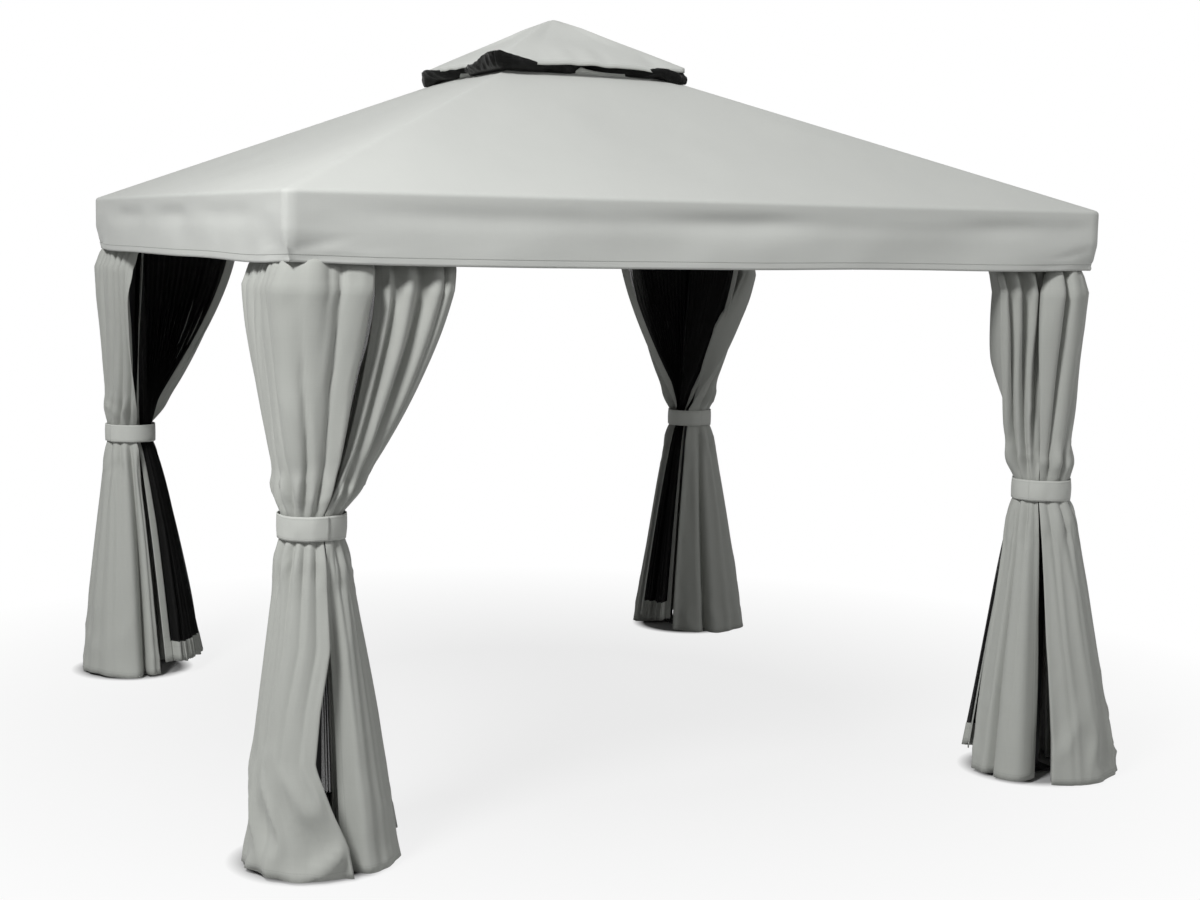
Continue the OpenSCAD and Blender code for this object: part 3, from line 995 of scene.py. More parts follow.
@dataclass
class VentNet:
    """Black net between the two tiers, which slumps in crumpled rolls along the upper canopy's edge.

    For each side, rolls holds how far the net bulges out and how far it rises, at even steps along the side.
    Near end is the end of a side at the front left corner, where the rolls stay full: -1, 1 or 0 for neither.
    """

    per_side: int = 120
    rows: int = 18
    seed: int = 47
    height: float = 0.1
    slim: float = 0.28
    droop: float = 0.050
    near_end: tuple[int, int, int, int] = (-1, 0, 0, 1)
    rolls: tuple[tuple[tuple[float, ...], tuple[float, ...]], ...] = (
        ((0.046, 0.042, 0.032, 0.022, 0.014, 0.010, 0.012, 0.018, 0.028, 0.036, 0.050),
         (0.054, 0.036, 0.010, 0.002, 0.000, 0.000, 0.000, 0.002, 0.005, 0.010, 0.032)),
        ((0.050, 0.030, 0.012, 0.030, 0.034, 0.012, 0.024, 0.034),
         (0.032, 0.008, 0.0, 0.010, 0.012, 0.0, 0.006, 0.010)),
        ((0.034, 0.026, 0.010, 0.006, 0.028, 0.034, 0.026, 0.054),
         (0.010, 0.006, 0.0, 0.0, 0.014, 0.016, 0.004, 0.040)),
        ((0.054, 0.052, 0.040, 0.026, 0.024, 0.032, 0.042, 0.046, 0.046),
         (0.040, 0.020, 0.006, 0.0, 0.0, 0.004, 0.018, 0.044, 0.054)),
    )

    def panel(self, side: int) -> tuple[np.ndarray, np.ndarray]:
        """One side of the net, from the main canopy up to the upper tier's edge.

        Args:
            side: Side of the vent, from the front, anticlockwise.

        Returns:
            Points and flat coordinates, rows by columns.
        """
        noise = Wrinkles(self.seed + side)
        v = np.linspace(0, 1, self.rows)[:, None]
        across = (2 * (np.arange(self.per_side) + 0.5) / self.per_side - 1)[None, :]
        around, end = across * 0.4 + side * 3.0, np.abs(across)
        roll, lift = (np.interp(across, np.linspace(-1, 1, len(row)), row) for row in self.rolls[side])
        far = np.where(self.near_end[side] * across > 0, 0.0, 1.0)
        roll = roll * (1 - self.slim * far * smooth_step(end, 0.80, 1.0))
        round_v = np.sin(math.pi * v ** 0.85)
        crush = noise.ridged(around * 17 + v, v * 2.6 + 4) * 0.008
        crush = crush + noise.ridged(around * 37 + 3, v * 4.0) * 0.004
        crush = crush * smooth_step(1 - end, 0.0, 0.06) * smooth_step(roll, 0.002, 0.02)
        flap = np.mean([smooth_step(vent_flap(side, across + k), 0.0, 0.010)
                        for k in np.linspace(-0.11, 0.11, 9)], 0)
        foot, head = VENT_HALF + 0.013, TOP_HALF - 0.010
        inner = foot - 0.020 * flap
        out = inner + (head - inner) * v ** (1 + 3 * flap) + round_v * (roll + crush) * (1 - flap)
        roof = EAVE_Z + ROOF_SLOPE * (EAVE - out) + 0.004
        low, high = EAVE_Z + ROOF_SLOPE * (EAVE - foot) + 0.003, TOP_EDGE_Z + 0.004
        up = low + (high - low) * v + round_v ** 2 * (lift + 0.6 * crush) * smooth_step(v, 0.1, 0.7)
        droop = self.droop * far * smooth_step(end, 0.74, 1.0)
        up = np.maximum(up - droop * round_v, roof)
        x = across * out
        flat = np.stack(np.broadcast_arrays(side * 0.8 + x, v * self.height), -1)
        return on_side(side, x, out, up), flat

    def build(self) -> bpy.types.Object:
        """Builds the net.

        Returns:
            The piece.
        """
        points, uv = four_sides(self.panel, 0.006)
        edge = np.ones(points.shape[:2])
        obj = grid_object("vent_net", points, uv, edge, Finish.VENT_NET, loop=True, flip=True)
        settle(obj, "netting", "vent_netting")
        return obj


# Curtains


@dataclass
class Corner:
    """One corner's own plan: the post is the origin and the two beams run along +p (X) and +q (Y)."""

    name: str
    side_x: int
    side_y: int

    def world(self, p: np.ndarray, q: np.ndarray, z: np.ndarray) -> np.ndarray:
        """Takes plan places to the gazebo's frame.

        Args:
            p: Distance along the X beam.
            q: Distance along the Y beam.
            z: Height.

        Returns:
            Places.
        """
        x, y = self.side_x * (POST_AT - p), self.side_y * (POST_AT - q)
        return np.stack([x, y, np.broadcast_to(z, p.shape)], -1)

    def point(self, p: float, q: float, z: float) -> np.ndarray:
        """Takes one plan place to the gazebo's frame."""
        return self.world(np.array(p), np.array(q), np.array(z))

    def direction(self, p: np.ndarray, q: np.ndarray) -> np.ndarray:
        """Takes plan directions to the gazebo's frame."""
        return np.stack([-self.side_x * p, -self.side_y * q, np.zeros_like(p)], -1)

    @property
    def mirrored(self) -> bool:
        """Whether the corner's plan is a mirror image."""
        return self.side_x * self.side_y < 0


@dataclass
class Crease:
    """A valley in gathered cloth, from head to hem: its places across the cloth, depths and widths."""

    head: float
    tie: float
    hem: float
    depth_head: float
    depth_tie: float
    depth_hem: float
    width_head: float = 0.05
    width_tie: float = 0.011
    width_hem: float = 0.06

    def valley(self, s: np.ndarray, up: np.ndarray, down: np.ndarray,
               length: np.ndarray) -> tuple[np.ndarray, np.ndarray]:
        """The crease's depth at each height, and its shape across the cloth.

        Args:
            s: Shares across the cloth.
            up: Share of the way to the head, for each row.
            down: Share of the way to the hem.
            length: Plan length of each row.

        Returns:
            One depth per row, and rows by columns of a valley of height 1.
        """
        middle = self.tie + (self.head - self.tie) * up ** 0.8 + (self.hem - self.tie) * down ** 0.8
        depth = self.depth_tie + (self.depth_head - self.depth_tie) * up ** 0.6 \
            + (self.depth_hem - self.depth_tie) * down ** 0.6
        width = self.width_tie + (self.width_head - self.width_tie) * up ** 0.7 \
            + (self.width_hem - self.width_tie) * down ** 0.7
        reach = np.abs(s[None, :] - middle[:, None]) * length[:, None] / width[:, None]
        return depth, np.exp(-reach ** 1.2)


@dataclass
class Depths:
    """A depth at the head, part way down, at the tie-back and at the hem."""

    head: float
    upper: float
    tie: float
    hem: float

    def at(self, up: np.ndarray, down: np.ndarray) -> np.ndarray:
        """The depth of each row.

        Args:
            up: Share of the way from the tie-back to the head.
            down: Share of the way from the tie-back to the hem.

        Returns:
            One depth per row.
        """
        rise = np.interp(up, [0.0, 0.55, 1.0], [self.tie, self.upper, self.head])
        return np.where(down > 0, self.tie + (self.hem - self.tie) * down ** 0.8, rise)


# How full a gathered cloth hangs: shares of the way from the tie-back to the head, and of its bulge there.
SWELL = ((0.0, 0.24, 0.55, 0.71, 0.87, 0.95, 1.0), (0.0, 0.38, 0.70, 0.89, 1.0, 0.71, 0.40))


@dataclass
class GatheredCloth:
    """A cloth hung from a beam's track, drawn to the post by a tie-back and flaring to its hem.

    Its outer part shows as a few broad folds. The rest is pleated behind it, so the cloth keeps its width.
    """

    name: str
    corner: Corner
    head: list[tuple[float, float]]
    tie_arc: tuple[float, float]
    hem_arc: tuple[float, float]
    creases: list[Crease]
    tail_first: bool = False
    tail_folds: int = 8
    tail_span: float = 0.9
    tail_in: Depths = field(default_factory=lambda: Depths(0.052, 0.092, 0.038, 0.150))
    tail_deep: Depths = field(default_factory=lambda: Depths(0.009, 0.021, 0.014, 0.026))
    tie_r: float = 0.098
    hem_r: float = 0.25
    hem_shift: tuple[float, float] = (0.0, 0.0)
    bulge: float = 0.075
    gather: float = 1.45
    flare: float = 0.78
    puff: float = 0.010
    pleats: float = 6.0
    pleat: float = 0.024
    wave: float = 0.006
    soft_crease: float = 0.006
    ripple: float = 0.0016
    tie_crease: float = 0.005
    hem_z: float = 0.006
    crumple: float = 0.004
    curl: tuple[float, float] = (0.02, 0.02)
    curl_width: float = 0.07
    turn: int = 0
    turn_in: Depths = field(default_factory=lambda: Depths(0.035, 0.050, 0.010, 0.075))
    opening: tuple[tuple[float, float], ...] = ((-1.0, 0.0), (1.0, 0.0))
    columns: int = 84
    rows: int = 104
    flat_width: float = 1.38
    seed: int = 1

    def heights(self) -> np.ndarray:
        """Heights of the cloth's rows, closer together at the tie-back."""
        top = BEAM_UNDER - 0.002
        half = self.rows // 2
        above = top - (top - TIE_Z) * (1 - (1 - np.linspace(0, 1, half)) ** 1.25)
        below = TIE_Z - (TIE_Z - self.hem_z) * np.linspace(0, 1, self.rows - half + 1)[1:] ** 1.2
        return np.concatenate([above, below])

    def shares(self, z: np.ndarray) -> tuple[np.ndarray, np.ndarray]:
        """Share of the way from the tie-back to the head, and to the hem, of each height."""
        top, bottom = TIE_Z + TIE_DEPTH / 2, TIE_Z - TIE_DEPTH / 2
        up = np.clip((z - top) / (BEAM_UNDER - top), 0, 1)
        down = np.clip((bottom - z) / (bottom - self.hem_z), 0, 1)
        return up, down

    @staticmethod
    def freedom(up: np.ndarray, down: np.ndarray) -> np.ndarray:
        """How freely the edges curl at each height: not at all in the tie-back, most at the hem."""
        return (1 - bell(up - down, 0.0, 0.10)) * (0.5 + 0.5 * up + down)

    def plan(self, s: np.ndarray, up: np.ndarray, down: np.ndarray) -> tuple[np.ndarray, np.ndarray]:
        """Line of the cloth's outer part at each height, before its folds, and its outward normals.

        Args:
            s: Shares across the outer part.
            up: Share of the way to the head, for each row.
            down: Share of the way to the hem.

        Returns:
            Plan places and normals, rows by columns.
        """
        dense = np.linspace(-0.5, 1.5, 480)
        head = sample_path(self.head, np.clip(dense, 0, 1))
        run = np.linalg.norm(np.diff(sample_path(self.head, np.linspace(0, 1, 80)), axis=0), axis=1).sum()
        for end, before, over in ((-1, -2, np.maximum(dense - 1, 0)), (0, 1, np.maximum(-dense, 0))):
            way = np.subtract(self.head[end], self.head[before])
            head = head + over[:, None] * run * (way / np.linalg.norm(way))[None, :]

        def arc(span: tuple[float, float], r: float) -> np.ndarray:
            """Places on an arc about the post, from the first angle to the second."""
            a = np.radians(span[0] + (span[1] - span[0]) * dense)
            return np.column_stack([np.cos(a), np.sin(a)]) * r

        tie, hem = arc(self.tie_arc, self.tie_r), arc(self.hem_arc, self.hem_r) + np.array(self.hem_shift)
        w_head = (1 - (1 - up) ** self.gather)[:, None, None]
        w_hem = (down ** self.flare)[:, None, None]
        line = tie[None] * (1 - w_head) * (1 - w_hem) + head[None] * w_head + hem[None] * w_hem
        run = np.gradient(line, axis=1)
        out = np.stack([run[..., 1], -run[..., 0]], -1)
        out /= np.maximum(np.linalg.norm(out, axis=-1, keepdims=True), 1e-9)
        line = line + out * (self.bulge * np.interp(up, *SWELL))[:, None, None]
        grid = np.broadcast_to(np.atleast_2d(s), (len(up), np.shape(s)[-1]))
        place = np.clip((grid + 0.5) / 2, 0, 1) * (len(dense) - 1)
        low = np.minimum(place.astype(int), len(dense) - 2)
        part = (place - low)[..., None]
        row = np.arange(len(up))[:, None]
        return (line[row, low] * (1 - part) + line[row, low + 1] * part,
                out[row, low] * (1 - part) + out[row, low + 1] * part)

    def folds(self, s: np.ndarray, up: np.ndarray, down: np.ndarray, length: np.ndarray) -> np.ndarray:
        """Depth of the outer part's folds, outwards.

        Args:
            s: Shares across the outer part.
            up: Share of the way to the head, for each row.
            down: Share of the way to the hem.
            length: Plan length of each row.

        Returns:
            Rows by columns of offsets.
        """
        noise = Wrinkles(self.seed)
        d = np.zeros((len(up), len(s)))
        mask = np.zeros_like(d)
        for c in self.creases:
            depth, valley = c.valley(s, up, down, length)
            d -= depth[:, None] * valley
            mask = np.maximum(mask, valley)
        shoulder = 1.5 * bell(up, 0.085, 0.06) * (up > 0) + bell(down, 0.07, 0.06) * (down > 0)
        d += self.puff * shoulder[:, None] * (1 - mask)
        pleat = np.abs(np.sin(math.pi * self.pleats * (s + 0.04 * noise.at(s * 5, 0.5))))[None, :] ** 0.6
        d -= self.pleat * (1 - pleat) * (up ** 5)[:, None]
        for layer in self._ripples(s[None, :] * length.max(), up[:, None], down[:, None]):
            d += layer
        free = self.freedom(up, down)[:, None]
        d -= (self.curl[0] * bell(s, 0.0, self.curl_width))[None, :] * free
        d -= (self.curl[1] * bell(s, 1.0, 0.07))[None, :] * free
        room = self._room(s, up, down)
        return np.where(d < 0, -room * np.tanh(-d / room), d)

    def _ripples(self, x: np.ndarray, up: np.ndarray, down: np.ndarray) -> list[np.ndarray]:
        """Uneven waves, soft creases and fine ripples of the outer part.

        Args:
            x: Lengths across the outer part.
            up: Share of the way to the head, as a column.
            down: Share of the way to the hem, as a column.

        Returns:
            Three layers of offsets, rows by columns.
        """
        noise, fine = Wrinkles(self.seed), Wrinkles(self.seed + 500)
        y = up - down
        away = smooth_step(up + down, 0.05, 0.35) * (1 - 0.6 * smooth_step(down, 0.1, 0.4))
        bent = x * 4.5 + 3 + 0.8 * fine.at(x * 3, y * 1.5)
        return [self.wave * noise.at(x * 5, y * 1.8 + 11) * (0.4 + up + down),
                self.soft_crease * noise.ridged(bent, y * 0.9 + 5) * away,
                self.ripple * fine.at(x * 22, y * 5.0 + 3) * (1 - smooth_step(down, 0.0, 0.2))]

    def _room(self, s: np.ndarray, up: np.ndarray, down: np.ndarray) -> np.ndarray:
        """How deep a fold can go before it meets the pleats behind.

        Args:
            s: Shares across the outer part.
            up: Share of the way to the head, for each row.
            down: Share of the way to the hem.

        Returns:
            Depths, rows by columns.
        """
        room = self.tail_in.at(up, down) - 1.3 * self.tail_deep.at(up, down) - 0.010
        room = np.maximum(room, 0.006)[:, None]
        past = s if self.tail_first else 1 - s
        clear = smooth_step(past, self.tail_span + 0.05, self.tail_span + 0.2)
        return room + 0.05 * clear[None, :] * np.minimum(up + down, 0.6)[:, None]

    def across(self) -> np.ndarray:
        """Shares of the outer part's columns, before the edge that turns in."""
        return np.linspace(0, 1, self.columns - self.turn)

    def lengths(self, up: np.ndarray, down: np.ndarray) -> np.ndarray:
        """Plan length of the outer part at each height."""
        place, _ = self.plan(self.across(), up, down)
        return np.linalg.norm(np.diff(place, axis=1), axis=-1).sum(1)

    def outer(self, up: np.ndarray, down: np.ndarray) -> np.ndarray:
        """Plan places of the outer part, with the edge that turns in at the slit."""
        s, length = self.across(), self.lengths(up, down)
        d = self.folds(s, up, down, length)
        if not self.turn:
            place, out = self.plan(s, up, down)
            return place + out * d[..., None]
        level, width = np.array(self.opening).T
        back = (np.interp(up - down, level, width) / length)[:, None]
        k = np.linspace(0, 1, self.turn + 1)[1:][None, :]
        slid = np.concatenate([s[None, :] * (1 - back), 1 - back - 0.012 * k], 1)
        place, out = self.plan(slid, up, down)
        last = d[:, -1:]
        inward = last - np.sin(k * math.pi / 2) ** 1.5 * self.turn_in.at(up, down)[:, None]
        return place + out * np.concatenate([d, inward], 1)[..., None]

    def tail(self, up: np.ndarray, down: np.ndarray) -> np.ndarray:
        """Plan places of the part that is pleated behind, from where it turns back to its own edge."""
        t = np.linspace(0, 1, self.tail_folds * PLEAT_COLUMNS + 1)[1:]
        base = self.tail_span * t if self.tail_first else 1 - self.tail_span * t
        place, out = self.plan(base, up, down)
        uneven = 1 + 0.3 * Wrinkles(self.seed + 300).at(t * 9, (up - down)[:, None] * 1.5)
        wave = np.sin(2 * math.pi * self.tail_folds * t)[None, :] * uneven
        inward = self.tail_in.at(up, down)[:, None] * smooth_step(t, 0.0, 0.05)[None, :]
        deep = self.tail_deep.at(up, down)[:, None] * smooth_step(t, 0.01, 0.06)[None, :]
        free = self.freedom(up, down)
        edge = self.curl[0 if self.tail_first else 1] * free[:, None] * bell(t, 0.0, 0.04)
        return place - out * (inward + edge - deep * wave)[..., None]

    def sections(self) -> tuple[np.ndarray, np.ndarray, np.ndarray, np.ndarray]:
        """All rows of the cloth, outer part and tail.

        Returns:
            Plan places, heights, and the shares to head and hem.
        """
        z = self.heights()
        up, down = self.shares(z)
        return self._join(self.outer(up, down), self.tail(up, down)), z, up, down

    def _join(self, outer: np.ndarray, tail: np.ndarray) -> np.ndarray:
        """Puts the columns of the outer part and the tail in the cloth's order."""
        return np.concatenate([tail[:, ::-1], outer] if self.tail_first else [outer, tail], 1)

    def surface(self) -> tuple[np.ndarray, np.ndarray, np.ndarray]:
        """Places, flat coordinates and hem distances of the whole cloth.

        Returns:
            Points, UV and edge distance, rows by columns.
        """
        place, z, up, down = self.sections()
        steps = np.linalg.norm(np.diff(place, axis=1), axis=-1).mean(0)
        s = np.concatenate([[0], np.cumsum(steps)]) / steps.sum()
        wave = Wrinkles(self.seed + 90).at(s * 9, 0.3) * 0.006 + 0.006
        height = z[:, None] + wave[None, :] * (down ** 2)[:, None]
        points = self.corner.world(place[..., 0], place[..., 1], height)
        tall = z[0] - z
        uv = np.stack(np.broadcast_arrays(s[None, :] * self.flat_width, -tall[:, None]), -1)
        side = np.minimum(s, 1 - s) * self.flat_width
        edge = np.minimum(np.broadcast_to(side[None, :], place.shape[:2]), (tall[-1] - tall)[:, None])
        return points, uv, edge

    def build(self, finish: Finish) -> bpy.types.Object:
        """Builds the cloth.

        Args:
            finish: The cloth's finish.

        Returns:
            The object.
        """
        points, uv, edge = self.surface()
        return grid_object(self.name, points, uv, edge, finish, flip=not self.corner.mirrored)

    def crumples(self) -> np.ndarray:
        """Small sharp creases low in the outer part and above the tie-back, added once the cloth has settled.

        Returns:
            One outward offset per point.
        """
        z = self.heights()
        up, down = self.shares(z)
        s = np.concatenate([self.across(), np.ones(self.turn)])
        _, out = self.plan(s, up, down)
        fine = Wrinkles(self.seed + 500)
        x = (s * self.lengths(up, down).max())[None, :]
        y = (up - down)[:, None]
        low = self.crumple * smooth_step(down, 0.50, 0.92)[:, None]
        d = low * fine.ridged(x * 6.5 + y * 3.2, y * 7.0 - x * 3.4)
        smile = bell(up, 0.10, 0.08) * (up > 0) + 0.7 * bell(down, 0.10, 0.08) * (down > 0)
        rows = (up + down)[:, None] * 16 + 0.8 * fine.at(x * 9, y)
        d = d + self.tie_crease * smile[:, None] * fine.ridged(x * 10 + 7, rows)
        d = d * (1 - smooth_step(s, 0.96, 1.0))[None, :]
        shift = self.corner.direction(out[..., 0] * d, out[..., 1] * d)
        tail = np.zeros((len(z), self.tail_folds * PLEAT_COLUMNS, 3))
        return self._join(shift, tail).reshape(-1, 3)

    def pins(self) -> np.ndarray:
        """How firmly each point is held: the pleats behind, the head, the tie-back and the hem.

        Returns:
            One weight per point.
        """
        z = self.heights()
        up, down = self.shares(z)
        row = np.maximum(smooth_step(up, 0.93, 0.99), 1 - smooth_step(up + down, 0.0, 0.06))
        hold = np.repeat(row[:, None], self.columns, 1)
        s = self.across()
        for c in self.creases:
            depth, valley = c.valley(s, up, down, self.lengths(up, down))
            grip = smooth_step(valley, 0.25, 0.8) * np.clip(depth / 0.018, 0, 1)[:, None]
            hold[:, :len(s)] = np.maximum(hold[:, :len(s)], grip)
        hold[:, len(s):] = 0.9
        hold[:, 0 if self.tail_first else -1] = 1.0
        tail = np.ones((len(z), self.tail_folds * PLEAT_COLUMNS))
        return self._join(hold, tail).reshape(-1)


@dataclass
class PleatedNet(GatheredCloth):
    """Half of a side's insect net: a flat leading edge with a cloth tape, and close pleats behind it."""

    pleat_count: int = 15
    deep: Depths = field(default_factory=lambda: Depths(0.009, 0.023, 0.018, 0.034))
    tape: float = 0.040
    hem_tape: float = 0.086
    lead: float = 0.09
    lead_columns: int = 9

    def sections(self) -> tuple[np.ndarray, np.ndarray, np.ndarray, np.ndarray]:
        """All rows of the net.

        Returns:
            Plan places, heights, and the shares to head and hem.
        """
        hem_top = self.hem_z + self.hem_tape
        z = np.concatenate([self.heights(), [hem_top, hem_top - 0.004]])
        z = np.unique(np.round(z, 5))[::-1]
        up, down = self.shares(z)
        s = np.linspace(0, 1, self.pleat_count * PLEAT_COLUMNS + self.lead_columns)
        ends, _ = self.plan(np.linspace(0, 1, 60), up, down)
        length = np.linalg.norm(np.diff(ends, axis=1), axis=-1).sum(1)
        flat = np.minimum(self.tape * 1.05 / length, 0.45)
        noise = Wrinkles(self.seed + 700)
        past = (s - self.lead) / (1 - self.lead)
        rows = []
        for i in range(len(z)):
            share = np.where(s < self.lead, s / self.lead * flat[i], flat[i] + past * (1 - flat[i]))
            place, out = self.plan(share, up[i:i + 1], down[i:i + 1])
            wave = np.sin(2 * math.pi * self.pleat_count * past)
            wave = wave * (0.85 + 0.4 * noise.at(s * 14, np.full_like(s, (up[i] - down[i]) * 1.6)))
            wave = np.where(s < self.lead, 0.0, wave)
            deep = self.deep.at(up[i:i + 1], down[i:i + 1])[0]
            lift = 0.6 * deep * smooth_step(self.lead * 1.4 - s, 0.0, self.lead * 0.5)
            rows.append((place + out * (deep * wave + lift)[None, :, None])[0])
        return np.stack(rows), z, up, down

    def build_tape(self) -> bpy.types.Object:
        """Builds the cloth tape along the leading edge and the hem.

        Returns:
            The object.
        """
        points, uv, _ = self.surface()
        low = -uv[:, 0, 1]
        first = int(np.argmax(low >= low[-1] - self.hem_tape))
        keep = np.zeros((points.shape[0] - 1, points.shape[1] - 1), bool)
        keep[:, :self.lead_columns] = True
        keep[first:, :] = True
        band = np.minimum(np.minimum(low[-1] - low, np.abs(low - low[first])), 0.5)
        band = np.repeat(band[:, None], points.shape[1], 1)
        return grid_object(self.name.replace("mesh", "tape"), points, uv, band, Finish.CURTAIN,
                           flip=not self.corner.mirrored, keep=keep)


@dataclass
class SlackCloth:
    """Lets hanging cloth settle: a short simulation in which a little slack buckles into wrinkles."""

    slack: float = 0.05
    low_share: float = 0.06
    frames: int = 16
    cap: float = 0.018
    floor: float = 0.003
    held: list[tuple[bpy.types.Object, np.ndarray, np.ndarray]] = field(default_factory=list)

    def add(self, obj: bpy.types.Object, pins: np.ndarray, after: np.ndarray, middle: np.ndarray) -> None:
        """Takes a cloth into the simulation.

        Args:
            obj: The sheet, with no thickness yet.
            pins: How firmly each point is held, 0 to 1.
            after: Offsets of small creases, added once it has settled.
            middle: The post's place. At rest the cloth is wider about it than it hangs.
        """
        obj.shape_key_add(name="hung")
        wide = obj.shape_key_add(name="wide")
        flat = np.zeros(len(obj.data.vertices) * 3)
        obj.data.vertices.foreach_get("co", flat)
        flat = flat.reshape(-1, 3)
        above = smooth_step(flat[:, 2:], TIE_Z - 0.10, TIE_Z + 0.05)
        slack = self.slack * (self.low_share + (1 - self.low_share) * above)
        flat[:, :2] = middle[:2] + (flat[:, :2] - middle[:2]) * (1 + slack)
        wide.data.foreach_set("co", flat.ravel())
        group = obj.vertex_groups.new(name="held")
        for weight in np.unique(np.round(pins, 2)):
            ids = np.nonzero(np.abs(pins - weight) < 0.006)[0]
            group.add(ids.tolist(), float(weight), "REPLACE")
        cloth = obj.modifiers.new("slack", "CLOTH")
        s = cloth.settings
        s.vertex_group_mass = "held"
        s.quality, s.mass, s.air_damping = 6, 0.12, 2.0
        s.tension_stiffness, s.compression_stiffness, s.shear_stiffness = 18.0, 18.0, 6.0
        s.bending_stiffness, s.pin_stiffness = 1.6, 1.0
        s.rest_shape_key = wide
        s.effector_weights.gravity = 0.6
        cloth.collision_settings.use_collision = False
        cloth.point_cache.frame_start, cloth.point_cache.frame_end = 1, self.frames
        self.held.append((obj, pins, after))

    def run(self) -> None:
        """Runs the simulation and keeps its result, with each point's travel capped."""
        scene = bpy.context.scene
        for n in range(1, self.frames + 1):
            scene.frame_set(n)
        graph = bpy.context.evaluated_depsgraph_get()
        result = []
        for obj, pins, after in self.held:
            count = len(obj.data.vertices)
            start, end = np.zeros(count * 3), np.zeros(count * 3)
            obj.data.vertices.foreach_get("co", start)
            obj.evaluated_get(graph).data.vertices.foreach_get("co", end)
            step = (end - start).reshape(-1, 3)
            far = np.linalg.norm(step, axis=1, keepdims=True)
            log.info("%s: slack moves it %.1f mm at most", obj.name, 1000 * far.max())
            step *= self.cap * np.tanh(far / self.cap) / np.maximum(far, 1e-9) * (1 - pins)[:, None]
            place = start.reshape(-1, 3) + step + after
            place[:, 2] = np.maximum(place[:, 2], self.floor)
            result.append((obj, place))
        self._clear()
        for obj, place in result:
            obj.data.vertices.foreach_set("co", place.ravel())
            obj.data.update()
        scene.frame_set(1)

    def _clear(self) -> None:
        """Takes the simulation off every cloth."""
        for obj, _, _ in self.held:
            obj.modifiers.clear()
            obj.vertex_groups.clear()
            if obj.data.shape_keys:
                obj.shape_key_clear()


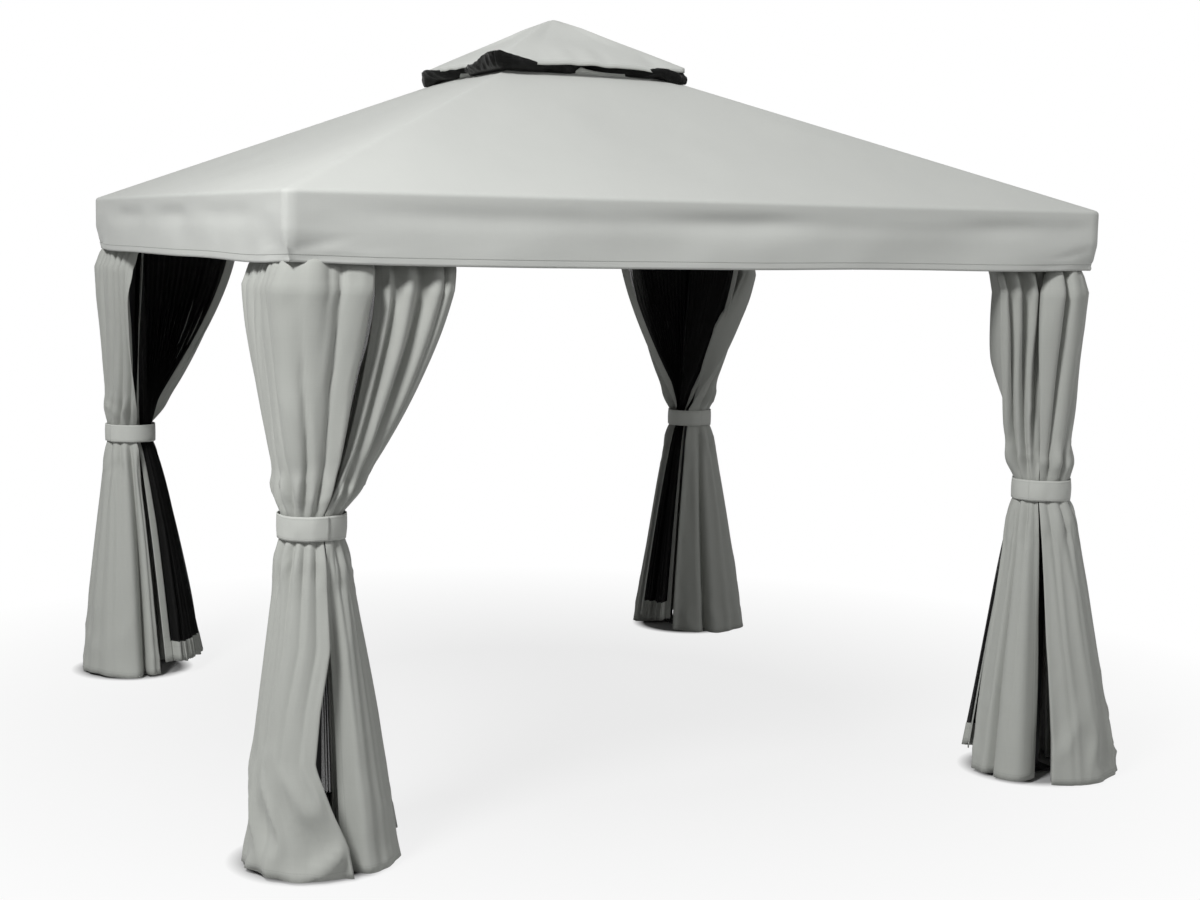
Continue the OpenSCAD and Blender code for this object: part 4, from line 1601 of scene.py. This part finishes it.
@dataclass
class CornerDrape:
    """The two curtains, the two half nets and the tie-back of one corner.

    Legs are how far the cloth reaches along the beams, wrap is where the side curtain ends round the post,
    and leads and slit are angles about the post.
    """

    corner: Corner
    leg_x: float
    leg_y: float
    wrap: float
    lead_y: float
    slit: float
    lead_x: float
    hem_r: float
    seed: int
    tie_turn: float = 0.0
    hem_shift: tuple[float, float] = (0.0, 0.0)
    crumple: float = 0.006
    opening: tuple[tuple[float, float], ...] = ((-1.0, 0.02), (-0.3, 0.0), (0.3, 0.0), (1.0, 0.01))
    hug: float = 4.0
    tie_lead: float = 8.0
    face_in: float = 0.092
    tail_first: bool = True
    pleat: float = 0.024
    net_x: float = 0.98
    net_y: float = 0.98
    net_first: float = 5.0
    net_hem: float = 0.055
    side_creases: list[Crease] = field(default_factory=list)
    face_creases: list[Crease] = field(default_factory=list)
    cloths: list[tuple[bpy.types.Object, GatheredCloth, str]] = field(default_factory=list)

    @property
    def beam_x(self) -> str:
        """Name of the beam along X."""
        return "beam_front" if self.corner.side_y < 0 else "beam_back"

    @property
    def beam_y(self) -> str:
        """Name of the beam along Y."""
        return "beam_left" if self.corner.side_x < 0 else "beam_right"

    def random_creases(self, rng: np.random.Generator, count: int) -> list[Crease]:
        """Creases of one curtain, some long and some that fade away from the tie-back.

        Args:
            rng: Random numbers.
            count: How many creases.

        Returns:
            The creases.
        """
        found = []
        for k in range(count):
            place = (k + 0.5 + rng.uniform(-0.25, 0.25)) / count
            long_up, long_down = rng.random() < 0.55, rng.random() < 0.4
            found.append(Crease(
                head=place + rng.uniform(-0.05, 0.05), tie=place, hem=place + rng.uniform(-0.06, 0.06),
                depth_head=rng.uniform(0.02, 0.035) if long_up else 0.003,
                depth_tie=rng.uniform(0.010, 0.016),
                depth_hem=rng.uniform(0.025, 0.045) if long_down else 0.003,
                width_head=rng.uniform(0.025, 0.05), width_hem=rng.uniform(0.035, 0.07)))
        return found

    def curtains(self, slack: SlackCloth) -> None:
        """Builds the curtain of the Y beam and that of the X beam.

        Args:
            slack: The simulation that settles them.
        """
        rng = np.random.default_rng(self.seed)
        name = self.corner.name
        off = -TRACK - 0.020
        split = max(self.wrap, 0.06)
        side_head = [(off, self.leg_y), (off - 0.008, self.leg_y * 0.5), (-0.060, 0.045),
                     (-0.062, -0.040), (-0.036, -0.064), (0.04, -0.060), (split, off - 0.010)]
        same = {"hem_r": self.hem_r, "hem_shift": self.hem_shift, "pleat": self.pleat}
        side = GatheredCloth(
            f"curtain_side_{name}", self.corner, side_head,
            tie_arc=(self.lead_y + self.tie_lead, self.slit + 4), hem_arc=(self.lead_y, self.slit),
            creases=self.side_creases or self.random_creases(rng, 6), tail_first=self.tail_first,
            tail_folds=7, tail_span=0.5, crumple=self.crumple, curl=(0.02, 0.0),
            turn=7 if self.tail_first else 0, opening=self.opening, columns=112, seed=self.seed + 1, **same)
        face_head = [(split - 0.020, off - 0.006), (split * 0.4 + self.leg_x * 0.6, off), (self.leg_x, off)]
        face = GatheredCloth(
            f"curtain_face_{name}", self.corner, face_head,
            tie_arc=(self.slit + 6, self.lead_x + self.hug), hem_arc=(self.slit + 2, self.lead_x),
            creases=self.face_creases or self.random_creases(rng, 3), tail_folds=12, tail_span=0.88,
            tail_in=Depths(0.066, self.face_in, 0.038, 0.150), curl=(0.07, 0.02), curl_width=0.15,
            columns=60, pleats=3.5, seed=self.seed + 2, **same)
        for cloth, beam in ((side, self.beam_y), (face, self.beam_x)):
            obj = cloth.build(Finish.CURTAIN)
            slack.add(obj, cloth.pins(), cloth.crumples(), self.corner.point(0.0, 0.0, 0.0))
            self.cloths.append((obj, cloth, beam))

    def dress(self) -> None:
        for obj, cloth, beam in self.cloths:
            thicken(obj, CLOTH)
            settle(obj, "curtain_cloth", f"curtain_{self.corner.name}")

    def nets(self) -> list[bpy.types.Object]:
        """Builds the two half nets inside the curtains, with their tapes.

        Returns:
            The two nets.
        """
        name = self.corner.name
        face_first, side_first = self.lead_x - 360 + self.net_first, self.lead_y - 5
        middle = (face_first + side_first) / 2
        reach_x, reach_y = self.leg_x * self.net_x, self.leg_y * self.net_y
        face_head = [(reach_x, TRACK + 0.004), (reach_x * 0.5, TRACK + 0.008), (0.052, 0.034)]
        side_head = [(TRACK + 0.004, reach_y), (TRACK + 0.008, reach_y * 0.5), (0.034, 0.052)]
        pieces = []
        for part, head, first, beam in (("face", face_head, face_first, self.beam_x),
                                        ("side", side_head, side_first, self.beam_y)):
            step = 4 if first < middle else -4
            arc = (first, middle - step)
            net = PleatedNet(
                f"net_mesh_{part}_{name}", self.corner, head, tie_arc=arc, hem_arc=arc, creases=[],
                tie_r=0.066, hem_r=self.hem_r * 0.86, hem_shift=self.hem_shift, hem_z=self.net_hem,
                bulge=0.0, rows=84, seed=self.seed + 3 + step)
            mesh = settle(net.build(Finish.NET), "netting", f"net_{name}")
            tape = settle(thicken(net.build_tape(), 0.0030), "curtain_cloth")
            pieces.append(mesh)
        return pieces

    def tie_back(self) -> bpy.types.Object:
        """Builds the corner's tie-back."""
        return TieBack(self.corner, self.tie_turn, self.seed + 70).build()


@dataclass
class TieBack:
    """A cloth band round the gathered curtains, with its end lapped over its start.

    Angles are in degrees about the post: the band sweeps past a full turn, and it rises over itself
    between the two lap angles.
    """

    corner: Corner
    turn: float
    seed: int
    radius: float = 0.1045
    rise: float = 0.0042
    lap: tuple[float, float] = (350, 372)
    sweep: float = 392
    columns: int = 118
    rows: int = 11
    thickness: float = 0.0026

    def build(self) -> bpy.types.Object:
        """Builds the band.

        Returns:
            The piece.
        """
        name = self.corner.name
        run = np.linspace(0, self.sweep, self.columns)
        turn = (np.radians(run) + math.radians(self.turn))[None, :]
        v = np.linspace(0, 1, self.rows)[:, None]
        noise = Wrinkles(self.seed)
        swell = 0.0018 * np.sin(math.pi * v) + 0.0012 * noise.at(turn * 3, v * 2)
        r = (self.radius + self.rise * smooth_step(run, *self.lap))[None, :] + swell
        z = TIE_Z - TIE_DEPTH / 2 + TIE_DEPTH * v + 0.0016 * noise.at(turn * 2 + 7, v * 0.4)
        points = self.corner.world(r * np.cos(turn), r * np.sin(turn), z)
        uv = np.stack(np.broadcast_arrays(turn * 0.11, v * TIE_DEPTH), -1)
        edge = np.repeat(np.minimum(v, 1 - v) * TIE_DEPTH, self.columns, 1)
        obj = grid_object(f"tie_back_cloth_{name}", points, uv, edge, Finish.BAND, flip=self.corner.mirrored)
        thicken(obj, self.thickness)
        settle(obj, "curtain_cloth", f"tie_back_{name}")
        return obj


def folds_of(*rows: tuple[float, ...]) -> list[Crease]:
    """Creases from rows of numbers, in the order of Crease's fields.

    Args:
        rows: One row for each crease.

    Returns:
        The creases.
    """
    return [Crease(*row) for row in rows]


DRAPES = (
    CornerDrape(
        Corner("front_left", -1, -1), leg_x=0.44, leg_y=0.50, wrap=0.20, lead_y=100, slit=270, lead_x=345,
        hem_r=0.250, seed=101, tie_turn=250, hem_shift=(0.029, -0.009), crumple=0.021,
        opening=((-1.0, -0.030), (-0.90, -0.016), (-0.80, 0.026), (-0.66, 0.072), (-0.50, 0.048),
                 (-0.32, 0.006), (0.0, 0.0), (0.2, 0.008), (0.5, 0.042), (0.8, 0.054), (1.0, 0.034)),
        side_creases=folds_of(
            (0.12, 0.15, 0.14, 0.034, 0.014, 0.040, 0.020, 0.011, 0.05),
            (0.27, 0.34, 0.33, 0.030, 0.014, 0.030, 0.018, 0.011, 0.05),
            (0.43, 0.53, 0.52, 0.046, 0.018, 0.003, 0.020, 0.010, 0.03),
            (0.58, 0.68, 0.66, 0.010, 0.018, 0.003, 0.030, 0.010, 0.03),
            (0.72, 0.80, 0.78, 0.026, 0.020, 0.003, 0.022, 0.010, 0.03),
            (0.86, 0.92, 0.90, 0.020, 0.018, 0.006, 0.018, 0.009, 0.03)),
        face_creases=folds_of(
            (0.26, 0.30, 0.30, 0.080, 0.016, 0.003, 0.018, 0.010, 0.04),
            (0.58, 0.62, 0.58, 0.080, 0.016, 0.004, 0.018, 0.010, 0.04),
            (0.86, 0.86, 0.80, 0.014, 0.012, 0.003, 0.013, 0.009, 0.05))),
    CornerDrape(
        Corner("front_right", 1, -1), leg_x=0.29, leg_y=0.41, wrap=0.06, lead_y=100, slit=308, lead_x=376,
        hem_r=0.283, seed=202, tie_turn=300, hem_shift=(-0.031, -0.025), crumple=0.010,
        opening=((-1.0, 0.044), (-0.85, 0.044), (-0.5, 0.022), (-0.2, 0.010), (0.0, 0.0), (0.3, 0.004),
                 (1.0, 0.012)),
        pleat=0.016, hug=20.0, net_x=0.60, net_y=0.55, net_first=14.0, face_in=0.112,
        side_creases=folds_of(
            (0.20, 0.20, 0.20, 0.030, 0.014, 0.040, 0.020, 0.011, 0.05),
            (0.42, 0.42, 0.43, 0.020, 0.013, 0.004, 0.030, 0.011, 0.06),
            (0.66, 0.62, 0.62, 0.014, 0.014, 0.012, 0.024, 0.010, 0.05),
            (0.80, 0.78, 0.78, 0.022, 0.014, 0.003, 0.018, 0.010, 0.05),
            (0.92, 0.92, 0.90, 0.060, 0.016, 0.008, 0.013, 0.010, 0.03)),
        face_creases=folds_of(
            (0.24, 0.10, 0.16, 0.080, 0.015, 0.004, 0.014, 0.009, 0.05),
            (0.56, 0.30, 0.36, 0.080, 0.016, 0.006, 0.014, 0.009, 0.04),
            (0.84, 0.56, 0.62, 0.050, 0.014, 0.070, 0.012, 0.009, 0.020))),
    CornerDrape(
        Corner("back_left", -1, 1), leg_x=0.48, leg_y=0.45, wrap=0.06, lead_y=78, slit=260, lead_x=345,
        hem_r=0.266, seed=303, tie_turn=120, hem_shift=(0.041, 0.008), crumple=0.005, net_y=0.55,
        tail_first=False,
        side_creases=folds_of(
            (0.10, 0.10, 0.11, 0.040, 0.016, 0.150, 0.014, 0.010, 0.016),
            (0.22, 0.24, 0.24, 0.044, 0.016, 0.004, 0.014, 0.010, 0.05),
            (0.36, 0.40, 0.40, 0.034, 0.015, 0.018, 0.016, 0.010, 0.07),
            (0.60, 0.60, 0.60, 0.034, 0.014, 0.010, 0.022, 0.011, 0.06),
            (0.82, 0.82, 0.82, 0.034, 0.014, 0.012, 0.022, 0.011, 0.06))),
    CornerDrape(
        Corner("back_right", 1, 1), leg_x=0.30, leg_y=0.50, wrap=0.06, lead_y=46, slit=270, lead_x=340,
        hem_r=0.295, seed=404, tie_turn=60, hem_shift=(-0.011, 0.006), crumple=0.006,
        opening=((-1.0, -0.024), (-0.3, -0.010), (0.3, 0.0), (1.0, 0.01)),
        tie_lead=12.0, net_x=1.40, net_first=24.0,
        side_creases=folds_of(
            (0.16, 0.15, 0.16, 0.040, 0.016, 0.130, 0.014, 0.011, 0.018),
            (0.29, 0.30, 0.30, 0.034, 0.015, 0.016, 0.016, 0.010, 0.05),
            (0.44, 0.44, 0.44, 0.034, 0.014, 0.036, 0.018, 0.010, 0.05),
            (0.64, 0.64, 0.64, 0.034, 0.014, 0.040, 0.022, 0.011, 0.05),
            (0.82, 0.82, 0.82, 0.034, 0.014, 0.040, 0.022, 0.011, 0.05))),
)


# Fittings made by Geometry Nodes


class NodeTree(Graph):
    """A Geometry Nodes tree with a geometry input and named sizes."""

    def __init__(self, name: str, inputs: dict[str, float]) -> None:
        """Makes the tree's inputs and output.

        Args:
            name: The tree's name.
            inputs: Names and values of its sizes.
        """
        self.tree = bpy.data.node_groups.new(name, "GeometryNodeTree")
        super().__init__(self.tree)
        face = self.tree.interface
        face.new_socket("Geometry", in_out="INPUT", socket_type="NodeSocketGeometry")
        face.new_socket("Geometry", in_out="OUTPUT", socket_type="NodeSocketGeometry")
        self.values = inputs
        self.ids = {}
        for label in inputs:
            self.ids[label] = face.new_socket(label, in_out="INPUT", socket_type="NodeSocketFloat").identifier
        self.start = self.nodes.new("NodeGroupInput")
        self.end = self.nodes.new("NodeGroupOutput")

    def size(self, label: str) -> bpy.types.NodeSocket:
        """The socket of one of the tree's named sizes."""
        return self.start.outputs[label]

    def cylinder(self, vertices: int, radius: Any, depth: Any) -> bpy.types.NodeSocket:
        """A cylinder, by numbers or sockets."""
        node = self.add("GeometryNodeMeshCylinder", None, {
            "Vertices": vertices, "Radius": radius, "Depth": depth})
        return node.outputs[0]

    def join(self, *parts: bpy.types.NodeSocket) -> bpy.types.NodeSocket:
        """Joins geometry."""
        node = self.add("GeometryNodeJoinGeometry")
        for part in parts:
            self.links.new(part, node.inputs[0])
        return node.outputs[0]

    def spaced(self, gap: bpy.types.NodeSocket) -> bpy.types.Node:
        """Points at even steps along the paths of the tree's input."""
        curve = self.add("GeometryNodeMeshToCurve", None, {0: self.start.outputs[0]})
        return self.add("GeometryNodeCurveToPoints", {"mode": "LENGTH"}, {0: curve.outputs[0], "Length": gap})

    def finish(self, points: bpy.types.NodeSocket, part: bpy.types.NodeSocket, material: bpy.types.Material,
               turn: Optional[bpy.types.NodeSocket] = None) -> None:
        """Ends the tree in real geometry: a part on each point, with its material.

        Args:
            points: The points.
            part: The part.
            material: Its material.
            turn: Its rotation on each point, where it has one.
        """
        inputs = {"Points": points, "Instance": part}
        if turn is not None:
            inputs["Rotation"] = turn
        made = self.add("GeometryNodeInstanceOnPoints", None, inputs)
        real = self.add("GeometryNodeRealizeInstances", None, {0: made.outputs[0]})
        dressed = self.add("GeometryNodeSetMaterial", None, {0: real.outputs[0], "Material": material})
        self.links.new(dressed.outputs[0], self.end.inputs[0])

    def apply(self, name: str, points: Sequence[Sequence[float]], edges: Sequence[tuple[int, int]] = (),
              facing: Sequence[Sequence[float]] = ()) -> bpy.types.Object:
        """Runs the tree on points or paths.

        Args:
            name: The piece's name.
            points: Places.
            edges: Pairs of points that form paths.
            facing: The way that each point faces, where the tree asks for it.

        Returns:
            A plain mesh object.
        """
        seed = bpy.data.meshes.new(name + "_guide")
        seed.from_pydata([tuple(p) for p in points], list(edges), [])
        if facing:
            way = seed.attributes.new("facing", "FLOAT_VECTOR", "POINT")
            way.data.foreach_set("vector", np.array(facing, np.float32).ravel())
        guide = bpy.data.objects.new(name + "_guide", seed)
        bpy.context.scene.collection.objects.link(guide)
        modifier = guide.modifiers.new("fittings", "NODES")
        modifier.node_group = self.tree
        for label, value in self.values.items():
            modifier[self.ids[label]] = value
        graph = bpy.context.evaluated_depsgraph_get()
        mesh = bpy.data.meshes.new_from_object(guide.evaluated_get(graph))
        mesh.name = name
        bpy.data.objects.remove(guide)
        obj = bpy.data.objects.new(name, mesh)
        bpy.context.scene.collection.objects.link(obj)
        return obj


@dataclass
class Fittings:
    """Small repeated parts: track gliders with stems, beam bolts and the lines of stitching."""

    glider_gap: float = 0.055
    glider_r: float = 0.007
    glider_drop: float = 0.010
    bolt_r: float = 0.0062
    bolt_off: float = -0.0282
    bolt_z: float = 1.893
    bolt_places: tuple[float, ...] = (0.046, 0.078)
    stitch: float = 0.0052
    stitch_gap: float = 0.0085
    thread: float = 0.0007

    def gliders(self) -> bpy.types.Object:
        """Builds the gliders that carry the curtains and nets.

        Returns:
            The piece.
        """
        t = NodeTree("track_gliders", {
            "Gap": self.glider_gap, "Width": self.glider_r, "Drop": self.glider_drop})
        points = t.spaced(t.size("Gap"))
        body = t.cylinder(10, t.size("Width"), 0.004)
        stem = t.cylinder(8, 0.0018, t.size("Drop"))
        lower = t.add("GeometryNodeTransform", None, {0: stem, "Translation": (0, 0, -0.005)})
        t.finish(points.outputs[0], t.join(body, lower.outputs[0]), Finish.NYLON.get())
        places, edges = [], []
        for d in DRAPES:
            for track in (-TRACK, TRACK):
                for ends in (((0.07, track), (d.leg_x, track)), ((track, 0.07), (track, d.leg_y))):
                    p, q = np.array(ends).T
                    edges.append((len(places), len(places) + 1))
                    places.extend(d.corner.world(p, q, np.full(2, BEAM_UNDER - 0.0024)).tolist())
        return settle(t.apply("track_gliders", places, edges), "frame_metal")

    def bolts(self) -> bpy.types.Object:
        """Builds the dome-headed bolts at the beams' ends.

        Returns:
            The piece.
        """
        t = NodeTree("beam_bolts", {"Radius": self.bolt_r})
        points = t.add("GeometryNodeMeshToPoints", None, {0: t.start.outputs[0]})
        dome = t.add("GeometryNodeMeshUVSphere", None, {
            "Segments": 14, "Rings": 8, "Radius": t.size("Radius")})
        flat = t.add("GeometryNodeTransform", None, {0: dome.outputs[0], "Scale": (1.0, 1.0, 0.55)})
        facing = t.add("GeometryNodeInputNamedAttribute", {"data_type": "FLOAT_VECTOR"}, {"Name": "facing"})
        turn = t.add("FunctionNodeAlignRotationToVector", {"axis": "Z"}, {"Vector": facing.outputs[0]})
        bolt = t.join(flat.outputs[0], t.cylinder(16, 0.0085, 0.0014))
        t.finish(points.outputs[0], bolt, Finish.ZINC.get(), turn.outputs[0])
        places, ways = [], []
        for corner in (d.corner for d in DRAPES):
            for along in self.bolt_places:
                places.append(corner.point(along, self.bolt_off, self.bolt_z))
                places.append(corner.point(self.bolt_off, along, self.bolt_z))
                ways += [(0, corner.side_y, 0), (corner.side_x, 0, 0)]
        return settle(t.apply("beam_bolts", places, facing=ways), "frame_metal")

    def stitches(self, name: str, lines: list[np.ndarray]) -> bpy.types.Object:
        """Builds lines of thread.

        Args:
            name: The piece's name.
            lines: Paths over the cloth.

        Returns:
            The piece.
        """
        t = NodeTree(name, {"Gap": self.stitch_gap, "Length": self.stitch, "Thread": self.thread})
        points = t.spaced(t.size("Gap"))
        thread = t.cylinder(5, t.size("Thread"), t.size("Length"))
        t.finish(points.outputs["Points"], thread, Finish.THREAD.get(), points.outputs["Rotation"])
        places, edges = [], []
        for line in lines:
            first = len(places)
            places.extend(line.tolist())
            edges.extend((first + i, first + i + 1) for i in range(len(line) - 1))
        return settle(t.apply(name, places, edges), "canopy_cloth")


# Stage


@dataclass(frozen=True)
class SoftBox:
    """A round area lamp that looks at the gazebo."""

    name: str
    place: tuple[float, float, float]
    size: float
    power: float
    aim: tuple[float, float, float] = (0.0, 0.0, 1.2)

    def build(self) -> None:
        """Adds the lamp."""
        data = bpy.data.lights.new(self.name, "AREA")
        data.shape, data.size, data.energy = "DISK", self.size, self.power
        lamp = bpy.data.objects.new(self.name, data)
        lamp.location = self.place
        lamp.rotation_mode = "QUATERNION"
        lamp.rotation_quaternion = (Vector(self.aim) - Vector(self.place)).to_track_quat("-Z", "Y")
        bpy.context.scene.collection.objects.link(lamp)


@dataclass(frozen=True)
class Stage:
    """Floor, light and camera."""

    eye: tuple[float, float, float] = (-3.006, -6.8711, 1.9471)
    yaw: float = 0.4412
    pitch: float = -0.1145
    roll: float = 0.0189
    lens: float = 56.257
    floor_half: float = 40.0
    ambient: float = 0.19
    lamps: tuple[SoftBox, ...] = (SoftBox("key", (-6.0, -4.5, 7.6), 2.4, 770.0),
                                  SoftBox("fill", (6.0, -7.0, 3.6), 3.4, 104.0))

    def camera(self) -> None:
        """Places the camera at the photograph's view."""
        flat = math.cos(self.pitch)
        forward = np.array([math.sin(self.yaw) * flat, math.cos(self.yaw) * flat, math.sin(self.pitch)])
        level = np.array([math.cos(self.yaw), -math.sin(self.yaw), 0.0])
        upright = np.cross(level, forward)
        matrix = np.eye(4)
        matrix[:3, 0] = level * math.cos(self.roll) + upright * math.sin(self.roll)
        matrix[:3, 1] = -level * math.sin(self.roll) + upright * math.cos(self.roll)
        matrix[:3, 2] = -forward
        matrix[:3, 3] = self.eye
        data = bpy.data.cameras.new("view")
        data.sensor_width, data.lens = 36.0, self.lens
        camera = bpy.data.objects.new("view", data)
        camera.matrix_world = Matrix(matrix.tolist())
        bpy.context.scene.collection.objects.link(camera)
        bpy.context.scene.camera = camera

    @staticmethod
    def _seen(t: Tree) -> Wire:
        """1 for the camera's rays and for those that metal and glass pass on.

        Args:
            t: The tree.

        Returns:
            The value.
        """
        rays = ("Is Camera Ray", "Is Glossy Ray", "Is Transmission Ray")
        direct, glossy, through = t.wires("ShaderNodeLightPath", None, rays)
        return (direct + glossy + through).function("MINIMUM", 1.0)

    def floor(self) -> None:
        """Lays a pale floor that shows white to the camera and keeps the shadow, with painted shade near the
        gazebo and round each post.
        """
        t = Tree(bpy.data.materials.new("pale_floor"))
        dull = t.wire("ShaderNodeBsdfDiffuse", None, {"Color": (0.5, 0.5, 0.5, 1)})
        glow = t.wire("ShaderNodeEmission", None, {"Color": (1, 1, 1, 1), "Strength": 1.0})
        place = t.place()
        far = t.wire("ShaderNodeVectorMath", {"operation": "LENGTH"}, {0: place}, "Value")
        # The camera sees less glow near the gazebo, so the floor there is darker: partly real shadow from the
        # diffuse part, partly painted shade.
        white = ((far - 1.2) / 2.2).clamp()
        axes = t.wires("ShaderNodeSeparateXYZ", {0: place}, (0, 1))
        x, y = (axis.function("ABSOLUTE") - POST_AT for axis in axes)
        # Near each post the glow falls to nothing: a painted contact shadow, deepened by the real shading of
        # the diffuse floor.
        away_from_post_shade = (((x * x + y * y).function("SQRT") - 0.205) / 0.06).clamp()
        share = self._seen(t) * (0.80 + white * 0.20) * away_from_post_shade
        material = t.end(t.wire("ShaderNodeMixShader", None, {0: share, 1: dull, 2: glow}))
        mesh = bpy.data.meshes.new("floor")
        r = self.floor_half
        mesh.from_pydata([(-r, -r, 0), (r, -r, 0), (r, r, 0), (-r, r, 0)], [], [(0, 1, 2, 3)])
        mesh.materials.append(material)
        floor = bpy.data.objects.new("floor", mesh)
        bpy.context.scene.collection.objects.link(floor)

    def world(self) -> None:
        """Lights the scene softly from all round, with a white background."""
        t = Tree(bpy.data.worlds.new("studio"))
        dim, white = (t.wire("ShaderNodeBackground", None, {"Color": (1, 1, 1, 1), "Strength": strength})
                      for strength in (self.ambient, 1.0))
        mixed = t.wire("ShaderNodeMixShader", None, {0: self._seen(t), 1: dim, 2: white})
        bpy.context.scene.world = t.end(mixed, "ShaderNodeOutputWorld")

    def build(self) -> None:
        """Builds the whole stage."""
        self.camera()
        self.floor()
        self.world()
        for lamp in self.lamps:
            lamp.build()
        bpy.context.scene.view_settings.view_transform = "Standard"


def dress_frame() -> None:
    """Gives every shown CAD node of the frame its powder coat."""
    coat = Finish.FRAME.get()
    for node in frame["nodes"].values():
        node.data.materials.clear()
        node.data.materials.append(coat)


def main() -> None:
    """Builds every sub-assembly in order."""
    Stage().build()
    dress_frame()
    canopy = MainCanopy()
    canopy.build()
    UpperTier().build()
    VentNet().build()
    slack = SlackCloth()
    for drape in DRAPES:
        drape.curtains(slack)
    slack.run()
    for drape in DRAPES:
        drape.dress()
        drape.nets()
        drape.tie_back()
    fittings = Fittings()
    fittings.gliders()
    fittings.bolts()
    fittings.stitches("valance_stitches", canopy.stitch_lines())


if __name__ == "__main__":
    main()
